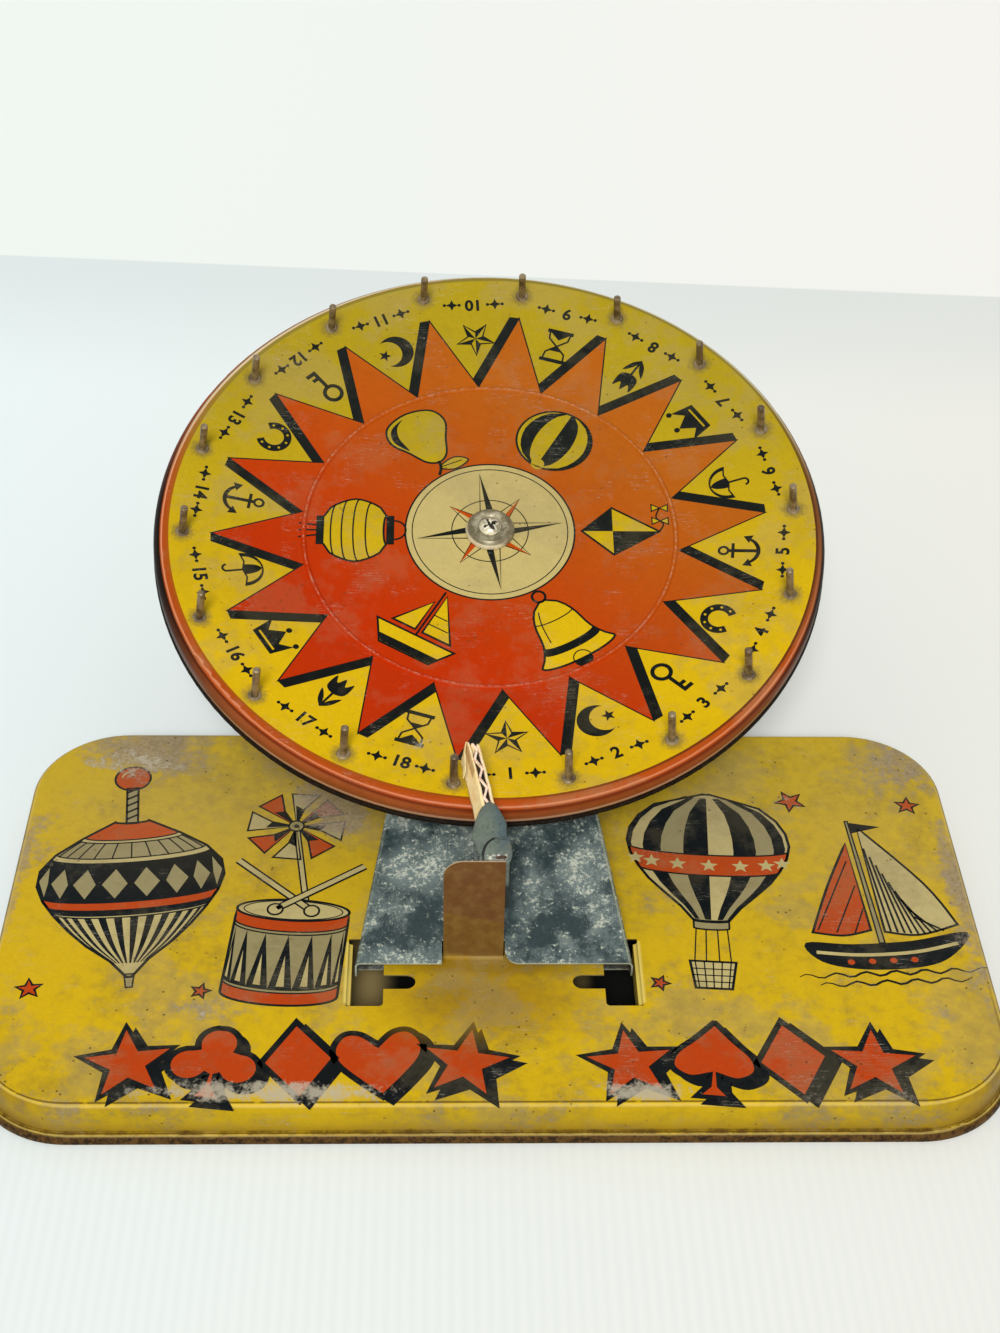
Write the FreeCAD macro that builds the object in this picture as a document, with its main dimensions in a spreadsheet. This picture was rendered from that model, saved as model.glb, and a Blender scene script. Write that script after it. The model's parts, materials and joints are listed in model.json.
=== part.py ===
import FreeCAD, Part
import math
import os
import Sketcher

# Tin spinner game: a pressed tin tray, a folded tin stand that leans back from it, a dished tin wheel
# with a ring of steel pegs, and a strip of corrugated card that clicks against the pegs.
# Millimetres, +X to the player's right, +Y away from the player, +Z up.
# The origin is at the bottom centre of the whole toy's box.

# The driving dimensions, in millimetres and degrees.
SIZES = {
    "tin": 0.5,
    "tray_width": 297.0,
    "tray_depth": 161.0,
    "tray_height": 13.6,
    "tray_corner": 28.5,
    "tray_shoulder": 2.4,
    "hem_proud": 2.0,
    "hem_height": 3.6,
    "hem_round_top": 1.7,
    "hem_round_foot": 0.9,
    "opening_front": 42.9,
    "opening_length": 26.9,
    "opening_inner": 32.6,
    "opening_width": 10.8,
    "opening_corner": 1.2,
    "slot_reach": 9.4,
    "slot_width": 5.6,
    "slot_front": 36.2,
    "flap_depth": 8.6,
    "flap_bend": 1.2,
    "tab_centre": 6.1,
    "tab_width": 17.9,
    "tab_height": 39.0,
    "tab_front": 23.4,
    "tab_corner": 5.9,
    "tab_bend": 1.4,
    "tab_side_gap": 0.4,
    "stand_front": 29.9,
    "stand_rise": 4.2,
    "stand_tilt": 18.4,
    "stand_front_width": 82.2,
    "stand_taper": 9.6,
    "stand_bend": 1.6,
    "stand_foot_length": 12.6,
    "stand_rest_margin": 3.2,
    "stand_nose": 15.5,
    "stand_nose_depth": 9.0,
    "foot_gap": 0.3,
    "lug_width": 4.4,
    "lug_tip": 24.6,
    "lug_setback": 2.4,
    "notch_gap": 0.4,
    "notch_corner": 4.0,
    "hub_reach": 148.7,
    "hub_standoff": 14.6,
    "face_flat": 63.0,
    "face_rise_angle": 9.0,
    "ring_inset": 1.8,
    "ring_half_width": 0.9,
    "ring_height": 0.7,
    "ring_hollow": 0.23,
    "peg_circle": 100.0,
    "rim_radius": 110.0,
    "rim_roll": 3.4,
    "skirt_inset": 0.5,
    "skirt_foot": 1.9,
    "curl_radius": 1.15,
    "peg_radius": 1.2,
    "peg_length": 12.6,
    "peg_tip_round": 0.4,
    "peg_hole_gap": 0.1,
    "peg_collar_radius": 2.2,
    "peg_collar_height": 0.55,
    "peg_collar_slope": 0.45,
    "peg_head_radius": 2.6,
    "peg_head_height": 0.7,
    "peg_seat_gap": 0.02,
    "peg_phase": 7.0,
    "screw_radius": 2.0,
    "screw_head_radius": 3.6,
    "screw_head_height": 2.1,
    "screw_head_lip": 0.5,
    "screw_end": 2.0,
    "screw_chamfer": 0.5,
    "recess_width": 0.9,
    "recess_reach": 2.1,
    "recess_depth": 1.1,
    "sleeve_wall": 1.4,
    "screw_gap": 0.1,
    "running_gap": 0.06,
    "thrust_gap": 0.15,
    "bush_radius": 5.2,
    "bush_flange_radius": 11.0,
    "bush_flange_height": 1.2,
    "bush_stake_height": 0.6,
    "bush_stake_radius": 6.0,
    "bush_stake_slope": 0.35,
    "thrust_radius": 8.5,
    "thrust_height": 0.9,
    "spacer_radius": 6.8,
    "cup_radius": 8.1,
    "cup_rise": 2.3,
    "cup_seat_radius": 4.2,
    "cup_seat_height": 1.5,
    "cup_crest_width": 0.5,
    "cup_lip": 0.3,
    "cup_outer_bend": 3.3,
    "cup_inner_bend": 8.0,
    "cup_float": 0.35,
    "washer_radius": 5.6,
    "washer_height": 0.8,
    "lock_radius": 3.9,
    "lock_height": 1.0,
    "lock_split": 1.0,
    "nut_flats": 7.0,
    "nut_height": 3.2,
    "card_thickness": 3.6,
    "card_height": 7.5,
    "card_over_rim": 2.2,
    "card_reach": 32.0,
    "card_inside_tape": 9.0,
    "tape_wall": 0.5,
    "tape_half_width": 4.7,
    "tape_length": 19.5,
    "tape_far_half_width": 2.9,
    "tape_taper_start": 8.0,
    "tape_end_slope": 0.7,
    "pointer_centre": 1.2,
    "pointer_yaw": 8.0,
    "anchor_height": 18.5,
    "anchor_thickness": 0.4,
    "anchor_drop": 0.3,
    "soft_gap": 0.3,
    "cut_over": 1.0,
}
PEG_COUNT = 18
NUT_SIDES = 6

# How near to its place an edge has to lie to be picked for rounding.
EDGE_SLACK = 1e-4

doc = FreeCAD.newDocument("spinner_game")
sheet = doc.addObject("Spreadsheet::Sheet", "Sizes")
for row, (alias, number) in enumerate(SIZES.items(), start=1):
    sheet.set("A%d" % row, alias)
    sheet.set("B%d" % row, str(number))
    sheet.setAlias("B%d" % row, alias)
doc.recompute()


class Size:
    """A number that also knows the sheet expression that gives it."""

    def __init__(self, value, text):
        self.value = value
        self.text = text

    def joined(self, other, sign, value):
        return Size(value, "(%s %s %s)" % (self.text, sign, other.text))

    def __add__(self, other):
        other = as_size(other)
        return self.joined(other, "+", self.value + other.value)

    def __radd__(self, other):
        return as_size(other) + self

    def __sub__(self, other):
        other = as_size(other)
        return self.joined(other, "-", self.value - other.value)

    def __rsub__(self, other):
        return as_size(other) - self

    def __mul__(self, other):
        other = as_size(other)
        return self.joined(other, "*", self.value * other.value)

    def __rmul__(self, other):
        return as_size(other) * self

    def __truediv__(self, other):
        other = as_size(other)
        return self.joined(other, "/", self.value / other.value)

    def __neg__(self):
        return Size(-self.value, "(0 - %s)" % self.text)


def as_size(thing):
    """A Size from a Size or a plain number."""
    if isinstance(thing, Size):
        return thing
    return Size(float(thing), repr(float(thing)))


def size(alias):
    """The driving dimension with this alias."""
    return Size(float(sheet.get(alias)), "Sizes.%s" % alias)


def sine(angle):
    return Size(math.sin(math.radians(angle.value)), "sin(%s)" % angle.text)


def cosine(angle):
    return Size(math.cos(math.radians(angle.value)), "cos(%s)" % angle.text)


def tangent(angle):
    return Size(math.tan(math.radians(angle.value)), "tan(%s)" % angle.text)


def root(number):
    return Size(math.sqrt(number.value), "sqrt(%s)" % number.text)


def bind(thing, name, value):
    """Bind a property to its sheet expression."""
    thing.setExpression(name, as_size(value).text)


def new_body(name):
    body = doc.addObject("PartDesign::Body", name)
    body.Label = name
    return body


def new_sketch(body, name, role, offset=None):
    """A sketch on one of the body's origin planes, moved along the plane's normal by offset."""
    sketch = body.newObject("Sketcher::SketchObject", name)
    plane = [item for item in body.Origin.OriginFeatures if item.Role == role][0]
    sketch.AttachmentSupport = [(plane, "")]
    sketch.MapMode = "FlatFace"
    if offset is not None:
        bind(sketch, "AttachmentOffset.Base.z", offset)
    return sketch


def hold(sketch, kind, *terms):
    """Add a constraint whose last term is a Size, bound to the sheet."""
    value = as_size(terms[-1])
    index = sketch.addConstraint(Sketcher.Constraint(kind, *terms[:-1], value.value))
    sketch.setExpression("Constraints[%d]" % index, value.text)


def hold_point(sketch, geometry, end, point):
    hold(sketch, "DistanceX", -1, 1, geometry, end, point[0])
    hold(sketch, "DistanceY", -1, 1, geometry, end, point[1])


def flat(point):
    return FreeCAD.Vector(as_size(point[0]).value, as_size(point[1]).value, 0)


def arc_middle(start, end, radius, side):
    """The middle of the short arc from start to end; side 1 bulges to the left, -1 to the right."""
    chord = end - start
    middle = (start + end) * 0.5
    left = FreeCAD.Vector(-chord.y, chord.x, 0)
    left.normalize()
    half = chord.Length / 2
    rise = radius - math.sqrt(max(radius * radius - half * half, 0))
    return middle + left * (rise * side)


def closed_outline(sketch, steps):
    """Draw a closed outline. Each step is (x, y) for a corner that a straight edge leaves, or
    (x, y, radius, side) for a corner that an arc leaves."""
    first = sketch.GeometryCount
    ends = []
    for index, step in enumerate(steps):
        start = flat(step)
        end = flat(steps[(index + 1) % len(steps)])
        if len(step) == 2:
            sketch.addGeometry(Part.LineSegment(start, end), False)
            ends.append((1, 2))
            continue
        radius = as_size(step[2])
        middle = arc_middle(start, end, radius.value, step[3])
        number = sketch.addGeometry(Part.Arc(start, middle, end), False)
        drawn_start = sketch.getPoint(number, 1)
        ends.append((1, 2) if drawn_start.distanceToPoint(start) < 1e-6 else (2, 1))
    count = len(steps)
    for index in range(count):
        after = (index + 1) % count
        sketch.addConstraint(Sketcher.Constraint(
            "Coincident", first + index, ends[index][1], first + after, ends[after][0]))
    for index, step in enumerate(steps):
        hold_point(sketch, first + index, ends[index][0], step)
        if len(step) == 4:
            hold(sketch, "Radius", first + index, step[2])


def circle(sketch, x, y, radius):
    number = sketch.addGeometry(Part.Circle(flat((x, y)), FreeCAD.Vector(0, 0, 1),
                                            as_size(radius).value), False)
    hold_point(sketch, number, 3, (x, y))
    hold(sketch, "Radius", number, radius)


def rounded_rectangle(sketch, half_width, half_depth, corner):
    """A rectangle about the origin with round corners."""
    inner_x = half_width - corner
    inner_y = half_depth - corner
    closed_outline(sketch, [
        (-inner_x, -half_depth),
        (inner_x, -half_depth, corner, -1),
        (half_width, -inner_y),
        (half_width, inner_y, corner, -1),
        (inner_x, half_depth),
        (-inner_x, half_depth, corner, -1),
        (-half_width, inner_y),
        (-half_width, -inner_y, corner, -1),
    ])


def pad(body, name, sketch, length, both_sides=False, reverse=False):
    feature = body.newObject("PartDesign::Pad", name)
    feature.Profile = sketch
    bind(feature, "Length", length)
    feature.SideType = "Symmetric" if both_sides else "One side"
    feature.Reversed = reverse
    return feature


def pocket(body, name, sketch, length, both_sides=False, reverse=False):
    feature = body.newObject("PartDesign::Pocket", name)
    feature.Profile = sketch
    bind(feature, "Length", length)
    feature.SideType = "Symmetric" if both_sides else "One side"
    feature.Reversed = reverse
    return feature


def revolve(body, name, sketch, kind="Revolution"):
    feature = body.newObject("PartDesign::" + kind, name)
    feature.Profile = sketch
    feature.ReferenceAxis = (sketch, ["V_Axis"])
    feature.Angle = 360
    return feature


def round_edges(body, name, base, radius, wanted):
    """Fillet the edges of base that wanted(edge) picks."""
    doc.recompute()
    names = ["Edge%d" % (number + 1) for number, edge in enumerate(base.Shape.Edges) if wanted(edge)]
    if not names:
        raise RuntimeError("no edges to round for " + name)
    feature = body.newObject("PartDesign::Fillet", name)
    feature.Base = (base, names)
    bind(feature, "Radius", radius)
    return feature


def lies_at(edge, axis, place):
    """True where the whole edge lies at one place along an axis."""
    box = edge.BoundBox
    low = getattr(box, axis + "Min")
    high = getattr(box, axis + "Max")
    return abs(low - place) < EDGE_SLACK and abs(high - place) < EDGE_SLACK


tin = size("tin")

# How far a cutter runs past what it cuts.
over = size("cut_over")

# Places that several pieces share.
tilt = size("stand_tilt")
tray_top = size("tray_height")
stand_front_y = -size("stand_front")
stand_front_z = tray_top + size("stand_rise")
hub_y = stand_front_y + size("hub_reach") * cosine(tilt) - size("hub_standoff") * sine(tilt)
hub_z = stand_front_z + size("hub_reach") * sine(tilt) + size("hub_standoff") * cosine(tilt)
dish_depth = (size("peg_circle") - size("face_flat")) * tangent(size("face_rise_angle"))
curl_low = -size("skirt_foot")
curl_centre = size("rim_radius") - size("curl_radius")
lug_low = tray_top - tin - size("foot_gap") - tin
first_peg_angle = as_size(270) - size("peg_phase")

# The whole toy's box, whose bottom centre is the origin: the wheel's curled edge reaches furthest back
# and the tray's hem furthest forward.
back_reach = hub_y + curl_centre * cosine(tilt) - curl_low * sine(tilt) + size("curl_radius")
front_reach = size("tray_depth") / 2 + size("hem_proud")
shift_y = (front_reach - back_reach) / 2


def stand_on_tray(thing):
    """Place a piece that is drawn in the tray's frame."""
    bind(thing, "Placement.Base.y", shift_y)


def stand_on_hub(thing):
    """Place a piece that is drawn in the hub's frame, +Z along the wheel's axis."""
    thing.Placement.Rotation = FreeCAD.Rotation(FreeCAD.Vector(1, 0, 0), tilt.value)
    bind(thing, "Placement.Rotation.Angle", tilt)
    bind(thing, "Placement.Base.y", hub_y + shift_y)
    bind(thing, "Placement.Base.z", hub_z)


# The tray: a pressed box, open below, with a rolled hem, two openings, two flaps and the pointer's tab.
def make_tray():
    body = new_body("base_tray")
    half_width = size("tray_width") / 2
    half_depth = size("tray_depth") / 2
    corner = size("tray_corner")

    sketch = new_sketch(body, "tray_outline", "XY_Plane")
    rounded_rectangle(sketch, half_width, half_depth, corner)
    pad(body, "tray_block", sketch, tray_top)

    sketch = new_sketch(body, "tray_inside_outline", "XY_Plane")
    rounded_rectangle(sketch, half_width - tin, half_depth - tin, corner - tin)
    hollow = pocket(body, "tray_hollow", sketch, tray_top - tin, reverse=True)

    ceiling = tray_top.value - tin.value
    inner = round_edges(body, "tray_inner_shoulder", hollow, size("tray_shoulder") - tin,
                        lambda edge: lies_at(edge, "Z", ceiling))
    round_edges(body, "tray_outer_shoulder", inner, size("tray_shoulder"),
                lambda edge: lies_at(edge, "Z", tray_top.value))

    proud = size("hem_proud")
    sketch = new_sketch(body, "hem_outline", "XY_Plane")
    rounded_rectangle(sketch, half_width + proud, half_depth + proud, corner + proud)
    rounded_rectangle(sketch, half_width - tin, half_depth - tin, corner - tin)
    hem = pad(body, "hem_ring", sketch, size("hem_height"))

    def on_hem_outside(edge, height):
        box = edge.BoundBox
        reach_x = max(abs(box.XMin), abs(box.XMax)) - half_width.value
        reach_y = max(abs(box.YMin), abs(box.YMax)) - half_depth.value
        return lies_at(edge, "Z", height) and max(reach_x, reach_y) > proud.value - EDGE_SLACK

    hem = round_edges(body, "hem_roll_top", hem, size("hem_round_top"),
                      lambda edge: on_hem_outside(edge, size("hem_height").value))
    round_edges(body, "hem_roll_foot", hem, size("hem_round_foot"),
                lambda edge: on_hem_outside(edge, 0))

    # the T-shaped openings
    front = -size("opening_front")
    back = front + size("opening_length")
    near = size("opening_inner")
    far = near + size("opening_width")
    slot_front = -size("slot_front")
    slot_back = slot_front + size("slot_width")
    slot_round = size("slot_width") / 2
    slot_tip = near - size("slot_reach") + slot_round
    corner = size("opening_corner")
    for name, side in (("right", 1), ("left", -1)):
        sketch = new_sketch(body, "opening_" + name, "XY_Plane")
        closed_outline(sketch, [
            (near * side, back),
            (near * side, slot_back),
            (slot_tip * side, slot_back, slot_round, -side),
            ((slot_tip - slot_round) * side, (slot_front + slot_back) / 2, slot_round, -side),
            (slot_tip * side, slot_front),
            (near * side, slot_front),
            (near * side, front + corner, corner, -side),
            ((near + corner) * side, front),
            (far * side, front),
            (far * side, back),
        ])
        pocket(body, "opening_cut_" + name, sketch, tray_top + over, reverse=True)

        # the flap, folded down from the opening's outer edge round a bend
        sketch = new_sketch(body, "flap_section_" + name, "XZ_Plane", -(front + corner))
        bend = size("flap_bend")
        low = tray_top - size("flap_depth")
        closed_outline(sketch, [
            ((far + tin) * side, tray_top),
            (far * side, tray_top, bend, side),
            ((far - bend) * side, tray_top - bend),
            ((far - bend) * side, low),
            ((far - bend + tin) * side, low),
            ((far - bend + tin) * side, tray_top - bend, bend - tin, -side),
            (far * side, tray_top - tin),
            ((far + tin) * side, tray_top - tin),
        ])
        pad(body, "flap_" + name, sketch, back - front - corner * 2, reverse=True)

    # the hole that the tab is lanced from, and the tab
    left = -(size("tab_centre") + size("tab_width") / 2)
    right = left + size("tab_width")
    tab_front = -size("tab_front")
    gap = size("tab_side_gap")
    sketch = new_sketch(body, "tab_hole_outline", "XY_Plane")
    hole_back = tab_front + size("tab_height")
    corner = size("tab_corner")
    closed_outline(sketch, [
        (left - gap, tab_front + tin),
        (right + gap, tab_front + tin),
        (right + gap, hole_back),
        (left - gap + corner, hole_back, corner, -1),
        (left - gap, hole_back - corner),
    ])
    pocket(body, "tab_hole", sketch, tray_top + over, reverse=True)

    sketch = new_sketch(body, "tab_outline", "XZ_Plane", -(tab_front + tin))
    tab_top = tray_top + size("tab_height")
    closed_outline(sketch, [
        (left, tray_top - tin),
        (right, tray_top - tin),
        (right, tab_top),
        (left + corner, tab_top, corner, -1),
        (left, tab_top - corner),
    ])
    tab = pad(body, "tab_plate", sketch, tin)

    def at_tab_foot(edge):
        box = edge.BoundBox
        return (lies_at(edge, "Z", tray_top.value) and lies_at(edge, "Y", tab_front.value)
                and box.XLength > size("tab_width").value / 2)

    round_edges(body, "tab_foot_bend", tab, size("tab_bend"), at_tab_foot)
    stand_on_tray(body)
    return body


# One wedge of the stand: its side outline, cut to its tapered plan. The stand is the outer wedge less
# the inner one, which lies one sheet inside it and runs past its ends and its foot.
def make_wedge(name, inset, past):
    body = new_body(name)
    top_drop = inset / cosine(tilt)
    front = stand_front_y - past
    slope = tangent(tilt)
    plate_length = size("hub_reach") + size("stand_nose")
    rear = stand_front_y + plate_length * cosine(tilt) + past
    front_top = stand_front_z - top_drop + (front - stand_front_y) * slope
    rear_top = front_top + (rear - front) * slope
    foot = lug_low - past
    foot_back = stand_front_y + size("stand_foot_length")
    rest_back = size("tray_depth") / 2 - size("stand_rest_margin")
    sketch = new_sketch(body, name + "_side", "YZ_Plane")
    if past.value > 0:
        outline = [(front, foot), (rear, foot), (rear, rear_top), (front, front_top)]
    else:
        outline = [
            (front, foot),
            (foot_back, foot),
            (foot_back, tray_top),
            (rest_back, tray_top),
            (rear, rear_top - size("stand_nose_depth")),
            (rear, rear_top),
            (front, front_top),
        ]
    closed_outline(sketch, outline)
    width = size("stand_front_width")
    block = pad(body, name + "_block", sketch, width, both_sides=True)

    taper = tangent(size("stand_taper"))
    side_inset = inset / cosine(size("stand_taper"))
    front_half = width / 2 - side_inset - (front - stand_front_y) * taper
    rear_half = front_half - (rear - front) * taper
    beyond = width
    above_all = stand_front_z + plate_length
    last = block
    for label, side in (("right", 1), ("left", -1)):
        sketch = new_sketch(body, name + "_taper_" + label, "XY_Plane")
        closed_outline(sketch, [
            (front_half * side, front),
            (rear_half * side, rear),
            (beyond * side, rear + over),
            (beyond * side, front - over),
            (front_half * side, front - over),
        ])
        last = pocket(body, name + "_cut_" + label, sketch, above_all, reverse=True)

    def along_fold(edge):
        """True for the two long edges where the plate meets the cheeks."""
        heights = [point.z - front_top.value - (point.y - front.value) * slope.value
                   for point in (vertex.Point for vertex in edge.Vertexes)]
        on_top = max(abs(height) for height in heights) < EDGE_SLACK
        return on_top and edge.BoundBox.YLength > plate_length.value / 2

    round_edges(body, name + "_folds", last, size("stand_bend") - inset, along_fold)
    return body


# The stand: a folded channel with feet and lugs, a notch round the tab and the spindle's hole.
def make_stand():
    outer = make_wedge("stand_outer", as_size(0), as_size(0))
    inner = make_wedge("stand_inner", tin, over)
    shell = doc.addObject("Part::Cut", "stand_shell")
    shell.Base = outer
    shell.Tool = inner

    taper = tangent(size("stand_taper"))
    lug_front = stand_front_y + size("lug_setback")
    lug_back = lug_front + size("lug_width")
    lugs = []
    for label, side in (("right", 1), ("left", -1)):
        lug_body = new_body("stand_lug_" + label)
        sketch = new_sketch(lug_body, "lug_outline_" + label, "XY_Plane", lug_low)
        half = size("stand_front_width") / 2 - tin / 2
        round_end = size("lug_width") / 2
        closed_outline(sketch, [
            ((half - (lug_front - stand_front_y) * taper) * side, lug_front),
            ((half - (lug_back - stand_front_y) * taper) * side, lug_back),
            ((size("lug_tip") + round_end) * side, lug_back, round_end, -side),
            (size("lug_tip") * side, (lug_front + lug_back) / 2, round_end, -side),
            ((size("lug_tip") + round_end) * side, lug_front),
        ])
        pad(lug_body, "lug_plate_" + label, sketch, tin)
        lugs.append(lug_body)

    whole = doc.addObject("Part::MultiFuse", "stand_whole")
    whole.Shapes = [shell] + lugs

    notch_body = new_body("stand_notch")
    sketch = new_sketch(notch_body, "notch_outline", "XY_Plane")
    gap = size("notch_gap")
    left = -(size("tab_centre") + size("tab_width") / 2) - gap
    right = left + size("tab_width") + gap * 2
    back = -size("tab_front") + tin + size("foot_gap")
    round_corner = size("notch_corner")
    closed_outline(sketch, [
        (left, stand_front_y - over),
        (right + round_corner, stand_front_y - over),
        (right + round_corner, stand_front_y, round_corner, 1),
        (right, stand_front_y + round_corner),
        (right, back),
        (left, back),
    ])
    pad(notch_body, "notch_block", sketch, tray_top + size("tab_height"))

    hole = doc.addObject("Part::Cylinder", "stand_spindle_hole")
    drop = size("hub_standoff") * 2
    bind(hole, "Radius", size("screw_radius") + size("screw_gap"))
    bind(hole, "Height", drop)
    hole.Placement.Rotation = FreeCAD.Rotation(FreeCAD.Vector(1, 0, 0), tilt.value)
    bind(hole, "Placement.Rotation.Angle", tilt)
    bind(hole, "Placement.Base.y", hub_y + drop * sine(tilt))
    bind(hole, "Placement.Base.z", hub_z - drop * cosine(tilt))

    cutters = doc.addObject("Part::MultiFuse", "stand_cutters")
    cutters.Shapes = [notch_body, hole]
    stand = doc.addObject("Part::Cut", "stand_bracket")
    stand.Label = "stand_bracket"
    stand.Base = whole
    stand.Tool = cutters
    stand_on_tray(stand)
    return stand


# The wheel: flat in the middle, an embossed ring, a rising zone for the pegs, a rolled rim and a skirt
# that ends in a curled edge. Its frame is the hub's: z = 0 on the face at the centre.
def make_wheel():
    body = new_body("wheel_disc")
    slope = size("face_rise_angle")
    flat_end = size("face_flat")
    roll = size("rim_roll")
    skirt = size("rim_radius") - size("skirt_inset")
    roll_start = skirt - roll * (1 + sine(slope))
    face_top = (roll_start - flat_end) * tangent(slope)
    roll_end = face_top - roll * cosine(slope)
    curl = size("curl_radius")
    curl_to_skirt = skirt - curl_centre
    curl_to_wall = curl_to_skirt - tin
    curl_meets_skirt = curl_low + root(curl * curl - curl_to_skirt * curl_to_skirt)
    curl_meets_wall = curl_low + root(curl * curl - curl_to_wall * curl_to_wall)
    ring = flat_end - size("ring_inset")
    half = size("ring_half_width")
    bump = size("ring_height")
    bump_radius = (bump * bump + half * half) / (bump * 2)
    hollow = size("ring_hollow")
    hollow_start = ring - half + hollow
    hollow_end = ring + half - hollow

    sketch = new_sketch(body, "wheel_section", "XZ_Plane")
    closed_outline(sketch, [
        (size("bush_radius"), 0),
        (ring - half, 0, bump_radius, 1),
        (ring, bump, bump_radius, 1),
        (ring + half, 0),
        (flat_end, 0),
        (roll_start, face_top, roll, 1),
        (skirt, roll_end),
        (skirt, curl_meets_skirt, curl, 1),
        (curl_centre + curl, curl_low, curl, 1),
        (curl_centre, curl_low - curl, curl, 1),
        (curl_centre - curl, curl_low, curl, 1),
        (skirt - tin, curl_meets_wall),
        (skirt - tin, roll_end, roll - tin, -1),
        (roll_start + tin * sine(slope), face_top - tin * cosine(slope)),
        (flat_end + tin * tangent(slope / 2), -tin),
        (hollow_end, -tin),
        (ring, hollow - tin),
        (hollow_start, -tin),
        (size("bush_radius"), -tin),
    ])
    revolve(body, "wheel_turned", sketch)

    doc.recompute()
    below = tin + over
    sketch = new_sketch(body, "peg_hole_outline", "XY_Plane", -below)
    circle(sketch, size("peg_circle") * cosine(first_peg_angle),
           size("peg_circle") * sine(first_peg_angle), size("peg_radius") + size("peg_hole_gap"))
    hole = pocket(body, "peg_hole", sketch, below + dish_depth + over, reverse=True)
    holes = body.newObject("PartDesign::PolarPattern", "peg_holes")
    holes.Originals = [hole]
    holes.Axis = (sketch, ["N_Axis"])
    holes.Angle = 360
    holes.Occurrences = PEG_COUNT
    body.Tip = holes
    stand_on_hub(body)
    return body


def make_turned(name, outline):
    """A piece that is a turned section about the hub's axis."""
    body = new_body(name)
    sketch = new_sketch(body, name + "_section", "XZ_Plane")
    closed_outline(sketch, outline)
    revolve(body, name + "_turned", sketch)
    stand_on_hub(body)
    return body


def make_ring(name, inner, outer, low, high):
    return make_turned(name, [(inner, low), (outer, low), (outer, high), (inner, high)])


# The bearing, from the stand's plate up to the screw's head.
plate_top = -size("hub_standoff")
screw_bore = size("screw_radius") + size("screw_gap")
sleeve_outer = screw_bore + size("sleeve_wall")
bush_bore = sleeve_outer + size("running_gap")
bush_low = -(tin + size("bush_flange_height"))
thrust_top = bush_low - size("thrust_gap")
thrust_low = thrust_top - size("thrust_height")
cup_seat_low = size("cup_seat_height")


def make_bush():
    """The wheel's flanged bush, staked over the face."""
    edge = size("bush_radius")
    return make_turned("hub_bush", [
        (bush_bore, bush_low),
        (size("bush_flange_radius"), bush_low),
        (size("bush_flange_radius"), -tin),
        (edge, -tin),
        (edge, 0),
        (size("bush_stake_radius"), 0),
        (size("bush_stake_radius") - size("bush_stake_slope"), size("bush_stake_height")),
        (bush_bore, size("bush_stake_height")),
    ])


def make_cup_washer():
    """The domed washer, whose seat clamps the sleeve and whose rim floats over the wheel."""
    low = size("cup_float")
    rim = size("cup_radius")
    rise = size("cup_rise")
    seat = size("cup_seat_radius")
    crest_start = (rim + seat - size("cup_crest_width")) / 2
    crest_end = crest_start + size("cup_crest_width")
    return make_turned("cup_washer", [
        (screw_bore, cup_seat_low),
        (seat, cup_seat_low),
        (crest_start, rise),
        (crest_end, rise, size("cup_outer_bend"), 1),
        (rim - tin, low),
        (rim, low),
        (rim, low + size("cup_lip"), size("cup_outer_bend"), -1),
        (crest_end, rise + tin, size("cup_inner_bend"), -1),
        (seat, cup_seat_low + tin),
        (screw_bore, cup_seat_low + tin),
    ])


def make_screw():
    """The round-head screw, with a cross recess in its head."""
    body = new_body("spindle_screw")
    head_low = cup_seat_low + tin
    head = size("screw_head_radius")
    height = size("screw_head_height")
    lip = size("screw_head_lip")
    dome_rise = height - lip
    dome = (head * head + dome_rise * dome_rise) / (dome_rise * 2)
    low = (plate_top - tin - size("washer_height") - size("lock_height") - size("nut_height")
           - size("screw_end"))
    chamfer = size("screw_chamfer")
    sketch = new_sketch(body, "screw_section", "XZ_Plane")
    closed_outline(sketch, [
        (0, low),
        (size("screw_radius") - chamfer, low),
        (size("screw_radius"), low + chamfer),
        (size("screw_radius"), head_low),
        (head, head_low),
        (head, head_low + lip, dome, -1),
        (0, head_low + height),
    ])
    revolve(body, "screw_turned", sketch)
    reach = size("recess_reach")
    half = size("recess_width") / 2
    sketch = new_sketch(body, "recess_outline", "XY_Plane", head_low + height - size("recess_depth"))
    closed_outline(sketch, [
        (-reach, -half), (-half, -half), (-half, -reach), (half, -reach), (half, -half), (reach, -half),
        (reach, half), (half, half), (half, reach), (-half, reach), (-half, half), (-reach, half),
    ])
    pocket(body, "recess", sketch, size("recess_depth") * 2, reverse=True)
    stand_on_hub(body)
    return body


def make_lock_washer():
    """A split ring: a turned ring less a narrow block."""
    body = new_body("lock_washer")
    top = plate_top - tin - size("washer_height")
    low = top - size("lock_height")
    outer = size("lock_radius")
    sketch = new_sketch(body, "lock_section", "XZ_Plane")
    closed_outline(sketch, [(screw_bore, low), (outer, low), (outer, top), (screw_bore, top)])
    revolve(body, "lock_turned", sketch)
    half = size("lock_split") / 2
    sketch = new_sketch(body, "lock_split_outline", "XY_Plane", low - over)
    closed_outline(sketch, [(0, -half), (outer * 2, -half), (outer * 2, half), (0, half)])
    pocket(body, "lock_split_cut", sketch, size("lock_height") + over * 2, reverse=True)
    stand_on_hub(body)
    return body


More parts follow.
